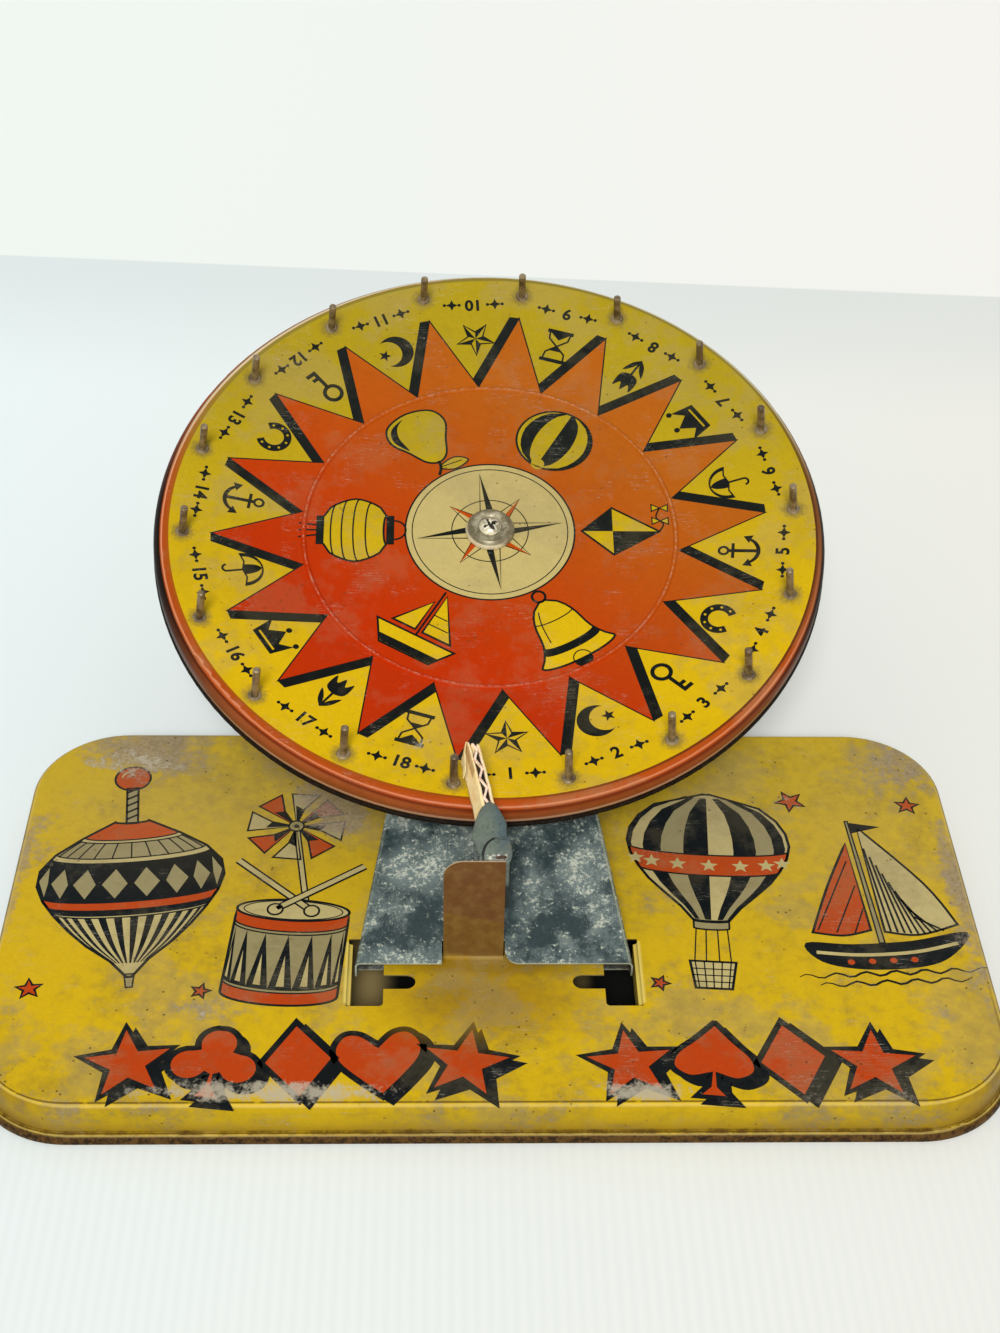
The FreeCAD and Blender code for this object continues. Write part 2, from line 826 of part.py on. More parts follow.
def make_nut():
    """The hexagon nut under the stand."""
    body = new_body("spindle_nut")
    top = plate_top - tin - size("washer_height") - size("lock_height")
    turn = as_size(360) / NUT_SIDES
    corner = size("nut_flats") / 2 / cosine(turn / 2)
    sketch = new_sketch(body, "nut_outline", "XY_Plane", top - size("nut_height"))
    closed_outline(sketch, [(corner * cosine(turn * side), corner * sine(turn * side))
                            for side in range(NUT_SIDES)])
    circle(sketch, 0, 0, screw_bore)
    pad(body, "nut_block", sketch, size("nut_height"))
    stand_on_hub(body)
    return body


# A peg stands square to the wheel's rising face: collar above the tin, head below it.
def make_peg(number):
    name = "peg_%02d" % number
    body = new_body(name)
    seat = size("peg_seat_gap")
    shank = size("peg_radius")
    top = size("peg_length")
    tip = size("peg_tip_round")
    collar = size("peg_collar_radius")
    collar_top = seat + size("peg_collar_height")
    head_top = -(tin + seat)
    head_low = head_top - size("peg_head_height")
    sketch = new_sketch(body, name + "_section", "XZ_Plane")
    closed_outline(sketch, [
        (0, head_low),
        (size("peg_head_radius"), head_low),
        (size("peg_head_radius"), head_top),
        (shank, head_top),
        (shank, seat),
        (collar, seat),
        (collar - size("peg_collar_slope"), collar_top),
        (shank, collar_top),
        (shank, top - tip),
        (shank - tip, top),
        (0, top),
    ])
    revolve(body, name + "_turned", sketch)
    angle = first_peg_angle.value + (number - 1) * 360.0 / PEG_COUNT
    hub_turn = FreeCAD.Rotation(FreeCAD.Vector(1, 0, 0), tilt.value)
    hub = FreeCAD.Placement(FreeCAD.Vector(0, (hub_y + shift_y).value, hub_z.value), hub_turn)
    about = FreeCAD.Placement(FreeCAD.Vector(0, 0, 0),
                              FreeCAD.Rotation(FreeCAD.Vector(0, 0, 1), angle))
    lean = FreeCAD.Placement(FreeCAD.Vector(size("peg_circle").value, 0, dish_depth.value),
                             FreeCAD.Rotation(FreeCAD.Vector(0, 1, 0), -size("face_rise_angle").value))
    body.Placement = hub * about * lean
    return body


# The pointer: card on its edge in a wrap of tape. Its frame stands on the flexing line behind the
# tab: +Y along the pointer, which runs parallel to the wheel's face just above its rim.
anchor_back = -size("tab_front") + tin + size("anchor_thickness")
pivot_x = -size("pointer_centre")
pivot_y = anchor_back + size("soft_gap") + size("tape_half_width")
peg_plane_y = hub_y - dish_depth * sine(tilt)
peg_plane_z = hub_z + dish_depth * cosine(tilt)
card_low = (peg_plane_z + (pivot_y - peg_plane_y) * tangent(tilt)
            + size("card_over_rim") / cosine(tilt))


def stand_on_pivot(thing):
    thing.Placement.Rotation = FreeCAD.Rotation(FreeCAD.Vector(0, 0, 1), size("pointer_yaw").value)
    bind(thing, "Placement.Rotation.Angle", size("pointer_yaw"))
    bind(thing, "Placement.Base.x", pivot_x)
    bind(thing, "Placement.Base.y", pivot_y + shift_y)
    bind(thing, "Placement.Base.z", card_low)


def slanted_outline(start, end, low, high):
    """A slanted bar between two places along the pointer, parallel to the wheel's face."""
    slope = tangent(tilt)
    return [
        (start, low + start * slope),
        (end, low + end * slope),
        (end, high + end * slope),
        (start, high + start * slope),
    ]


def make_card():
    body = new_body("pointer_card")
    start = size("tape_length") - size("tape_half_width") - size("card_inside_tape")
    sketch = new_sketch(body, "card_side", "YZ_Plane")
    closed_outline(sketch, slanted_outline(start, size("card_reach"), as_size(0),
                                           size("card_height") / cosine(tilt)))
    pad(body, "card_block", sketch, size("card_thickness"), both_sides=True)
    stand_on_pivot(body)
    return body


def make_tape():
    """The wrap: a bullet in plan, round about the flexing line, less the card's room."""
    body = new_body("tape_wrap")
    near = size("tape_half_width")
    far = size("tape_far_half_width")
    end = size("tape_length") - near
    wall = size("tape_wall")
    high = size("card_height") / cosine(tilt) + wall
    sketch = new_sketch(body, "tape_side", "YZ_Plane")
    closed_outline(sketch, slanted_outline(-near, end, -wall, high))
    pad(body, "tape_block", sketch, near * 2, both_sides=True)
    outer = size("tape_length") * 2
    sketch = new_sketch(body, "tape_plan", "XY_Plane", -outer)
    taper_start = size("tape_taper_start")
    end_slope = size("tape_end_slope")
    closed_outline(sketch, [
        (-near, 0),
        (0, -near, near, 1),
        (near, 0),
        (near, taper_start),
        (far, end - end_slope),
        (far - end_slope, end),
        (-(far - end_slope), end),
        (-far, end - end_slope),
        (-near, taper_start),
    ])
    closed_outline(sketch, [(-outer, -outer), (outer, -outer), (outer, outer), (-outer, outer)])
    pocket(body, "tape_rounding", sketch, outer * 2, reverse=True)

    room = new_body("tape_room")
    start = size("tape_length") - near - size("card_inside_tape")
    sketch = new_sketch(room, "room_side", "YZ_Plane")
    closed_outline(sketch, slanted_outline(start, size("card_reach"), as_size(0),
                                           size("card_height") / cosine(tilt)))
    pad(room, "room_block", sketch, size("card_thickness"), both_sides=True)

    tape = doc.addObject("Part::Cut", "pointer_tape")
    tape.Label = "pointer_tape"
    tape.Base = body
    tape.Tool = room
    stand_on_pivot(tape)
    return tape


def make_anchor():
    """The end of the tape that is stuck to the back of the tab."""
    anchor = doc.addObject("Part::Box", "tape_anchor")
    anchor.Label = "tape_anchor"
    bind(anchor, "Length", size("tape_half_width") * 2)
    bind(anchor, "Width", size("anchor_thickness"))
    bind(anchor, "Height", size("anchor_height"))
    bind(anchor, "Placement.Base.x", pivot_x - size("tape_half_width"))
    bind(anchor, "Placement.Base.y", anchor_back - size("anchor_thickness") + shift_y)
    bind(anchor, "Placement.Base.z",
         tray_top + size("tab_height") - size("anchor_drop") - size("anchor_height"))
    return anchor


def check_document():
    for item in doc.Objects:
        if "Invalid" in item.State or "Error" in item.State:
            raise RuntimeError("%s is %s" % (item.Name, item.State))


def write_pieces(pieces):
    os.makedirs("parts", exist_ok=True)
    for piece in pieces:
        shape = piece.Shape
        if shape.isNull() or not shape.isValid() or shape.Volume <= 0:
            raise RuntimeError("%s has no valid shape" % piece.Label)
        print("%-16s solids %d volume %.1f" % (piece.Label, len(shape.Solids), shape.Volume))
        shape.exportStep("parts/%s.step" % piece.Label)


pieces = [
    make_tray(),
    make_stand(),
    make_wheel(),
    make_bush(),
    make_ring("thrust_washer", bush_bore, size("thrust_radius"), thrust_low, thrust_top),
    make_ring("spacer_tube", bush_bore, size("spacer_radius"), plate_top, thrust_low),
    make_ring("bearing_sleeve", screw_bore, sleeve_outer, plate_top, cup_seat_low),
    make_cup_washer(),
    make_screw(),
    make_ring("flat_washer", screw_bore, size("washer_radius"),
              plate_top - tin - size("washer_height"), plate_top - tin),
    make_lock_washer(),
    make_nut(),
    make_card(),
    make_tape(),
    make_anchor(),
]
pieces += [make_peg(number) for number in range(1, PEG_COUNT + 1)]
doc.recompute()
check_document()
write_pieces(pieces)
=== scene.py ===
"""Looks of a tin spinner game: worn printed tin, bare tin, steel, card and tape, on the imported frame."""

import json
import math

import bmesh
import bpy
from mathutils import Matrix, Vector, noise
from mathutils.geometry import tessellate_polygon


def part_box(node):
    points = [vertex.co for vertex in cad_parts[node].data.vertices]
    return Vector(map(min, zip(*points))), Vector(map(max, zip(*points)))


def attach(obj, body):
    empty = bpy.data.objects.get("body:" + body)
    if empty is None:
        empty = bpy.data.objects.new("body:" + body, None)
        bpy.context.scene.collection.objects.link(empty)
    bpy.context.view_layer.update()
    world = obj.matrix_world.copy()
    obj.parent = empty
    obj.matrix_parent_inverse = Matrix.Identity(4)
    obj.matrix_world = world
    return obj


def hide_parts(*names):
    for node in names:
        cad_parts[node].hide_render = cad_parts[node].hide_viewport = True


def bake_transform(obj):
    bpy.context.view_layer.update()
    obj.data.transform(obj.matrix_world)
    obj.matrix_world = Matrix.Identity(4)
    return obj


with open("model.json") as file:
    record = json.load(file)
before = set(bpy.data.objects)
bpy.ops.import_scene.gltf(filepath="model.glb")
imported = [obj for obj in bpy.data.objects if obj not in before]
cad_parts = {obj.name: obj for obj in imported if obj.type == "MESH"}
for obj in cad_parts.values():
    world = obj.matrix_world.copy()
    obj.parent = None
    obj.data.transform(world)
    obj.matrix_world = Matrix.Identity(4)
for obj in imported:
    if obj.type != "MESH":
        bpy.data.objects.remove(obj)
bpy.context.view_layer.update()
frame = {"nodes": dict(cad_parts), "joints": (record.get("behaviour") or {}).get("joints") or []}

# Lengths are in millimetres, up to the place where a mesh or a light is made.
MM = 0.001

# Places from the frame: the wheel's axis and the middle of the tray.
joints = {joint["name"]: joint for joint in frame["joints"]}
hub = Vector(joints["wheel_spin"]["pos_m"]) / MM
wheel_axis = Vector(joints["wheel_spin"]["axis"]).normalized()
wheel_tilt = math.atan2(-wheel_axis.y, wheel_axis.z)
tray_low, tray_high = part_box("base_tray")
tray_middle = (tray_low + tray_high) / 2 / MM

# The tray and its parts.
TRAY_TOP = 13.6
TRAY_HALF_WIDTH = 148.5
TRAY_HALF_DEPTH = 80.5
TRAY_CORNER = 28.5
HEM_HEIGHT = 3.6
TAB_LEFT = -15.05
FLAP_FACE = 42.2
FLAP_ENDS = (-41.8, -17.1)

# How the floor under the tray looks through the openings: painted dark as shade, with painted light left of
# one line and in one band.
LIT_LEFT = (-28, -37)
LIT_BAND = (22, 29)

# The wheel's face: flat in the middle, then a cone up to the rim.
FACE_FLAT = 63.0
FACE_SLOPE = math.tan(math.radians(9))
RING_RADIUS = 61.2
RIM_RADIUS = 110.0
RIM_START = 107.0
PEG_CIRCLE = 100.0
PEG_COUNT = 18
PEG_STEP = 360 / PEG_COUNT
FIRST_PEG = 263.0

# The sunburst on the wheel: one ray to each peg.
RAY_TIP = 91.0
RAY_VALLEY = 62.5
SHADOW_WIDTH = 3.2
DISC_RADIUS = 27.8
YELLOW_END = 105.3
PRINT_SHIFT = (0.9, 0.5)
NUMBER_CIRCLE = 95.8
ICON_CIRCLE = 81.9
TOY_CIRCLE = 44.3
TOY_SCALE = 1.28
FIRST_TOY = 300.0

# The pointer: corrugated card in a wrap of tape, whose end is stuck to the tab.
pivot = Vector(joints["pointer_flex"]["pos_m"]) / MM
POINTER_YAW = 8.0
CARD_START = 5.8
CARD_END = 33.4
CARD_THICKNESS = 3.5
CARD_HEIGHT = 7.9
CARD_SHIFT = 1.1
CARD_VEER_START = 12.0
CARD_VEER = 0.046
CARD_BEND = 0.0016
CARD_LEAN = 1.9
LINER = 0.75
LINER_RIPPLE = 0.06
FLUTE_SHEET = 0.7
FLUTE_PITCH = 6.3
FLUTE_SHARPNESS = 0.96
PEEL_START = 24.0
PEEL_REACH = 2.0
PEEL_BULGE = 0.6
PEEL_GAP = 0.12
PEEL_LOW = 5.2
PEEL_PLY = 0.24
CRUSHED_END = 2.4
TAIL_FOLD = (3.0, -4.7)
TAIL_REACH = 6.6
TAIL_RIGHT = 3.9
TAIL_WIDTH = 9.2
TAIL_SIDE = 1.0

# How far the screw's cross is turned, in radians.
SCREW_TURN = 0.5

# Two places on the far edge of the floor's board.
BOARD_EDGE = ((-229.4, 389.9), (249.6, 355.6))

# How thick an ink lies, and how far one layer stands above the next.
INK_SINK = 0.01
INK_LIFT = 0.03
LAYER_LIFT = 0.02


def rgb(red, green, blue):
    """A colour as it looks on a screen, 0 to 255, in the renderer's own linear values."""
    def linear(value):
        share = value / 255
        return share / 12.92 if share <= 0.04045 else ((share + 0.055) / 1.055) ** 2.4
    return linear(red), linear(green), linear(blue)


HAZE = rgb(164, 148, 106)
HAZE_SHARE = {"black": 0.08, "orange": 0.14}
USUAL_HAZE = 0.3
OXIDE = rgb(158, 144, 126)
OXIDE_DARK = rgb(134, 120, 102)
SCUFF = rgb(194, 184, 160)
RUST = rgb(76, 56, 30)
STAIN_AND_SHADE = rgb(160, 122, 24)


class Field:
    """A number, vector or colour that changes over a surface: one output of a node, with arithmetic."""

    def __init__(self, paint, socket):
        self.paint = paint
        self.socket = socket

    def __add__(self, other):
        return self.paint.math("ADD", self, other)

    __radd__ = __add__

    def __mul__(self, other):
        return self.paint.math("MULTIPLY", self, other)

    __rmul__ = __mul__

    def __sub__(self, other):
        return self.paint.math("SUBTRACT", self, other)

    def __rsub__(self, other):
        return self.paint.math("SUBTRACT", other, self)

    def __truediv__(self, other):
        return self.paint.math("DIVIDE", self, other)

    def __abs__(self):
        return self.paint.math("ABSOLUTE", self)


class Paint:
    """A material whose nodes are written as formulas."""

    def __init__(self, name):
        self.material = bpy.data.materials.new(name)
        self.material.use_nodes = True
        self.tree = self.material.node_tree
        self.shader = self.tree.nodes["Principled BSDF"]
        coordinates = self.tree.nodes.new("ShaderNodeTexCoord")
        self.surface_point = Field(self, coordinates.outputs["Object"])
        self.surface_normal = Field(self, coordinates.outputs["Normal"])

    def feed(self, socket, value):
        if isinstance(value, Field):
            self.tree.links.new(value.socket, socket)
        elif socket.type == "RGBA":
            socket.default_value = (*value, 1.0)
        else:
            socket.default_value = value

    def node(self, kind, output, sockets, **settings):
        """One output of a new node, whose sockets are fed by name or number."""
        made = self.tree.nodes.new("ShaderNode" + kind)
        for name, value in settings.items():
            setattr(made, name, value)
        for name, value in sockets.items():
            self.feed(made.inputs[name], value)
        return Field(self, made.outputs[output])

    def math(self, operation, first, second=0.0, third=0.0):
        return self.node("Math", 0, {0: first, 1: second, 2: third}, operation=operation)

    def largest(self, *values):
        total = values[0]
        for value in values[1:]:
            total = self.math("MAXIMUM", total, value)
        return total

    def smallest(self, first, second):
        return self.math("MINIMUM", first, second)

    def root(self, first, second):
        """The length of the long side over two sides at a right angle."""
        return self.math("SQRT", first * first + second * second)

    def local(self, place, turn=0.0):
        """The surface point in millimetres, in a frame that stands at a place and leans about X."""
        sockets = {"Vector": self.surface_point, "Location": Vector(place) * MM,
                   "Rotation": (turn, 0, 0), "Scale": (MM, MM, MM)}
        return self.node("Mapping", 0, sockets, vector_type="TEXTURE")

    def normal(self, turn=0.0):
        """The surface's normal in the same leaning frame."""
        sockets = {"Vector": self.surface_normal, "Rotation": (turn, 0, 0)}
        return self.node("Mapping", 0, sockets, vector_type="TEXTURE")

    def parts(self, vector):
        made = self.tree.nodes.new("ShaderNodeSeparateXYZ")
        self.feed(made.inputs[0], vector)
        return [Field(self, socket) for socket in made.outputs]

    def point(self, x, y, z):
        return self.node("CombineXYZ", 0, {0: x, 1: y, 2: z})

    def stretch(self, vector, along, turn=0.0):
        """A vector turned about Z and scaled along each axis."""
        sockets = {"Vector": vector, "Rotation": (0, 0, math.radians(turn)), "Scale": along}
        return self.node("Mapping", 0, sockets, vector_type="POINT")

    def noise(self, vector, grain, detail, roughness, seed):
        """Cloudy noise about 0.5, with lumps about as large as grain."""
        sockets = {"Vector": vector, "W": seed, "Scale": 1 / grain, "Detail": detail,
                   "Roughness": roughness}
        return self.node("TexNoise", "Fac", sockets, noise_dimensions="4D")

    def dots(self, vector, grain):
        """The distance to the nearest of many scattered points, in grains."""
        return self.node("TexVoronoi", "Distance", {"Vector": vector, "Scale": 1 / grain})

    def step(self, value, low, high):
        """0 up to low, 1 from high on, and smooth between; low may be the larger one."""
        sockets = {"Value": value, "From Min": low, "From Max": high}
        return self.node("MapRange", "Result", sockets, interpolation_type="SMOOTHSTEP")

    def band(self, value, low, high, soft):
        """1 between low and high, with soft edges."""
        return self.step(value, low - soft, low + soft) * self.step(value, high + soft, high - soft)

    def mix(self, share, first, second, blend="MIX"):
        sockets = {"Factor": share, 6: first, 7: second}
        return self.node("Mix", 2, sockets, data_type="RGBA", blend_type=blend)

    def shade(self, colour, amount):
        """A colour times a number."""
        return self.mix(1.0, colour, self.point(amount, amount, amount), "MULTIPLY")

    def bump(self, height, strength, depth):
        sockets = {"Strength": strength, "Distance": depth * MM, "Height": height}
        return self.node("Bump", "Normal", sockets)

    def finish(self, **values):
        """Feed the shader's own sockets, by their short names."""
        for name, value in values.items():
            self.feed(self.shader.inputs[SHADER_NAMES[name]], value)
        return self.material


SHADER_NAMES = {
    "colour": "Base Color",
    "roughness": "Roughness",
    "metallic": "Metallic",
    "normal": "Normal",
    "specular": "Specular IOR Level",
}


class Wear:
    """How a carrier's lacquer has aged: fields over its surface that its tin and its inks share."""

    def __init__(self, paint, spot, patches, mottling, more_scuff, more_oxide):
        self.paint = paint
        # Stains, which on the tray also hold painted shade in front of the stand.
        self.stain = 0.0
        broad = paint.noise(spot, 46, 3, 0.55, 1.3)
        cloud = paint.noise(spot, 13, 5, 0.62, 2.9)
        middle = self.middle = paint.noise(spot, 4.6, 5, 0.68, 4.1)
        fine = self.fine = paint.noise(spot, 1.0, 3, 0.7, 7.7)
        smudge = cloud * 0.35 + middle * 0.45 + fine * 0.2 + (broad - 0.5) * 0.5
        self.smoke = paint.step(smudge, 0.42, 0.66) * mottling
        blotch = paint.noise(spot, 22, 4, 0.6, 6.3)
        self.haze = paint.step(blotch * 0.7 + middle * 0.3 + (broad - 0.5) * 0.3, 0.49, 0.6) * mottling
        ragged = (cloud - 0.5) * 1.1 + (middle - 0.5) * 1.2 + (fine - 0.5) * 0.9
        scuffed = ragged + more_scuff
        oxidised = ragged * 0.8 + (broad - 0.5) * 1.2 + more_oxide
        for kind, x, y, reach_x, reach_y, amount in patches:
            near = self.closeness(spot, x, y, reach_x, reach_y) * amount
            if kind == "scuff":
                scuffed = scuffed + near
            elif kind == "oxide":
                oxidised = oxidised + near
            elif kind == "haze":
                self.haze = paint.largest(self.haze, near * (middle + 0.4))
            else:
                self.stain = paint.largest(self.stain, near * (middle * 0.6 + 0.7))
        self.scuff = paint.step(scuffed, 0.36, 0.74)
        self.oxide = paint.step(oxidised, 0.3, 0.7)
        dirty = paint.step(cloud + (broad - 0.5) * 0.9, 0.44, 0.62) * mottling
        self.speck = paint.largest(
            paint.step(paint.dots(spot, 3.4), 0.15, 0.07) * dirty,
            paint.step(paint.dots(spot, 1.5), 0.16, 0.08) * dirty * paint.step(middle, 0.5, 0.6))
        streak = paint.noise(paint.stretch(spot, (0.06, 1.3, 1.0), 24), 1.0, 2, 0.5, 3.3)
        other = paint.noise(paint.stretch(spot, (0.05, 1.1, 1.0), -57), 1.0, 2, 0.5, 9.2)
        lines = paint.largest(paint.band(streak, 0.497, 0.503, 0.002),
                              paint.band(other, 0.498, 0.502, 0.002))
        self.scratch = lines * paint.step(cloud, 0.52, 0.6)

    def closeness(self, spot, x, y, reach_x, reach_y):
        """1 at a place, falling to 0 at an ellipse round it."""
        node = self.paint.node
        offset = node("VectorMath", 0, {0: spot, 1: (x, y, 0)}, operation="SUBTRACT")
        reach = (1 / reach_x, 1 / reach_y, 0)
        scaled = node("VectorMath", 0, {0: offset, 1: reach}, operation="MULTIPLY")
        length = node("VectorMath", "Value", {0: scaled}, operation="LENGTH")
        return self.paint.step(length, 1.0, 0.1)

    def age(self, colour, worn, smoke, haze):
        """A fresh colour as it looks after years of play."""
        paint = self.paint
        # Stain, with painted shade in front of the tray's stand.
        aged = paint.mix(self.stain, colour, STAIN_AND_SHADE)
        aged = paint.mix(self.smoke * smoke, aged, worn)
        aged = paint.mix(self.haze * haze, aged, HAZE)
        aged = paint.shade(aged, 0.82 + self.fine * 0.36)
        oxide = paint.mix(paint.step(self.fine, 0.4, 0.6), OXIDE_DARK, OXIDE)
        aged = paint.mix(self.oxide * 0.7, aged, oxide)
        aged = paint.mix(self.scuff * 0.75, aged, SCUFF)
        aged = paint.mix(self.scratch * 0.55, aged, SCUFF)
        return paint.mix(self.speck * 0.75, aged, RUST)

    def roughness(self, fresh):
        return self.scuff * 0.25 + self.oxide * 0.15 + self.fine * 0.12 + (fresh - 0.06)

    def relief(self):
        return self.fine * 0.5 + self.middle * 0.5 - self.scuff * 0.3 - self.scratch * 0.4


# Places on the tray where the print is worn, dull or stained, and where stains in front of the stand hold
# painted shade: kind, x, y, reach across, reach along, amount.
TRAY_WEAR = [
    ("oxide", -116, 68, 40, 20, 0.65),
    ("scuff", -118, 64, 34, 14, 0.45),
    ("oxide", -52, 50, 22, 34, 0.5),
    ("oxide", -140, 30, 12, 30, 0.4),
    ("oxide", -138, -40, 12, 22, 0.3),
    ("oxide", -96, 26, 18, 12, 0.4),
    ("scuff", -104, 22, 14, 8, 0.4),
    ("oxide", -46, 40, 12, 40, 0.3),
    ("scuff", -44, 30, 8, 30, 0.25),
    ("oxide", -82, -44, 26, 9, 0.45),
    ("scuff", -86, -46, 14, 7, 0.35),
    ("scuff", -62, -74, 70, 8, 0.6),
    ("scuff", 42, -75, 26, 7, 0.65),
    ("oxide", 44, -72, 32, 8, 0.4),
    ("oxide", 130, 60, 24, 22, 0.4),
    ("scuff", 122, 62, 16, 9, 0.35),
    ("oxide", 146, 4, 12, 60, 0.45),
    ("oxide", 128, -46, 14, 12, 0.4),
    ("scuff", 98, 44, 14, 10, 0.3),
    ("oxide", -148, 0, 7, 60, 0.35),
    ("oxide", 52, 6, 12, 50, 0.25),
    ("haze", -96, 40, 66, 46, 0.9),
    ("haze", 118, 24, 44, 60, 0.6),
    # Stain and painted shade in front of the stand's front edge.
    ("stain", -4, -40, 46, 24, 0.9),
    ("stain", -2, -24, 42, 16, 1.2),
]

# The same on the wheel's face, in the hub's frame.
WHEEL_WEAR = [
    ("scuff", -22, -84, 9, 6, 0.6),
    ("scuff", -62, 58, 16, 4, 0.4),
    ("scuff", 60, 70, 12, 6, 0.3),
    ("oxide", 20, 98, 30, 7, 0.35),
    ("oxide", 92, 40, 8, 24, 0.3),
    ("scuff", -30, -62, 14, 3, 0.4),
    ("scuff", 58, -22, 4, 10, 0.4),
]


def round_box_distance(paint, x, y, half_width, half_depth, corner):
    """The distance outside a rectangle with round corners, below 0 inside it."""
    across = abs(x) - (half_width - corner)
    along = abs(y) - (half_depth - corner)
    outside = paint.root(paint.largest(across, 0.0), paint.largest(along, 0.0))
    return outside + paint.smallest(paint.largest(across, along), 0.0) - corner


class Coat:
    """A carrier's print: its place, its wear and the aged colour of each of its inks."""

    def __init__(self, paint):
        self.paint = paint
        self.spot = self.place()
        self.x, self.y, self.z = paint.parts(self.spot)
        self.wear = self.worn()
        self.ink = {}
        # Each ink's second colour holds fading, and on the wheel painted shade towards the far side.
        for name, (fresh, faded_and_shaded, worn, smoke) in self.inks.items():
            colour = paint.mix(self.fading_and_far_shade(name), fresh, faded_and_shaded)
            self.ink[name] = self.wear.age(colour, worn, smoke, HAZE_SHARE.get(name, USUAL_HAZE))

    def finish(self, colour, fresh_roughness, depth):
        return self.paint.finish(
            colour=colour,
            specular=0.06,
            roughness=self.wear.roughness(fresh_roughness),
            normal=self.paint.bump(self.wear.relief(), 0.25, depth),
        )


class TrayCoat(Coat):
    """The tray's print, in the tray's own frame, greyer to the back."""
    inks = {
        "yellow": (rgb(216, 178, 20), rgb(200, 168, 42), rgb(142, 116, 42), 0.62),
        "orange": (rgb(190, 66, 14), rgb(182, 76, 30), rgb(142, 76, 44), 0.45),
        "black": (rgb(12, 16, 18), rgb(20, 24, 26), rgb(44, 48, 46), 0.5),
        "cream": (rgb(200, 184, 122), rgb(186, 170, 118), rgb(148, 128, 80), 0.5),
        "grey": (rgb(158, 146, 100), rgb(150, 140, 102), rgb(118, 104, 68), 0.55),
    }

    def place(self):
        return self.paint.local((0, tray_middle.y, 0))

    def worn(self):
        edge = round_box_distance(self.paint, self.x, self.y,
                                  TRAY_HALF_WIDTH - 2, TRAY_HALF_DEPTH - 2, TRAY_CORNER - 2)
        near_edge = self.paint.step(edge, -8.0, 0.5)
        return Wear(self.paint, self.spot, TRAY_WEAR, 1.0, near_edge * 0.1, near_edge * 0.22)

    def fading_and_far_shade(self, ink):
        return self.paint.step(self.y, -60.0, 70.0)


class WheelCoat(Coat):
    """The wheel's print, in the hub's own frame, duller away from the pointer, where fading and painted
    shade darken its yellow.
    """
    inks = {
        "yellow": (rgb(216, 177, 10), rgb(168, 145, 24), rgb(138, 112, 27), 0.42),
        "orange": (rgb(184, 46, 0), rgb(174, 92, 18), rgb(132, 52, 15), 0.33),
        "black": (rgb(12, 15, 13), rgb(22, 25, 22), rgb(46, 50, 42), 0.4),
        "cream": (rgb(194, 175, 110), rgb(188, 169, 108), rgb(152, 134, 80), 0.4),
        "bead": (rgb(171, 73, 16), rgb(160, 72, 25), rgb(130, 56, 25), 0.45),
    }

    def place(self):
        return self.paint.local(hub, wheel_tilt)

    def worn(self):
        return Wear(self.paint, self.spot, WHEEL_WEAR, 0.7, -0.12, -0.1)

    def fading_and_far_shade(self, ink):
        if ink == "orange":
            return self.paint.step(self.y * 0.8 + self.x * 0.6, -60.0, 70.0)
        return self.paint.step(self.y, -70.0, 70.0)


def tab_colour(paint, coat):
    """The brown of the bent tab, and where it begins above the tray's yellow."""
    x, z, wear = coat.x, coat.z, coat.wear
    sloping = z + (x - TAB_LEFT) * 0.25 + (wear.middle - 0.5) * 3
    upper = paint.step(sloping, TRAY_TOP + 17.5, TRAY_TOP + 20)
    brown = paint.mix(upper, rgb(113, 83, 37), rgb(103, 68, 40))
    blotch = paint.noise(paint.point(x, z, 3.0), 5.5, 4, 0.65, 1.9)
    brown = paint.mix(paint.step(blotch, 0.42, 0.62) * 0.5, brown, rgb(96, 62, 32))
    pale = paint.step(blotch + (wear.fine - 0.5) * 0.4, 0.42, 0.32)
    brown = paint.mix(pale * 0.35, brown, rgb(140, 110, 74))
    brown = paint.shade(brown, 0.88 + wear.fine * 0.24)
    above = paint.step(sloping, TRAY_TOP - 0.5, TRAY_TOP + 3.5)
    return brown, above * paint.step(z, TRAY_TOP + 0.3, TRAY_TOP + 0.9)


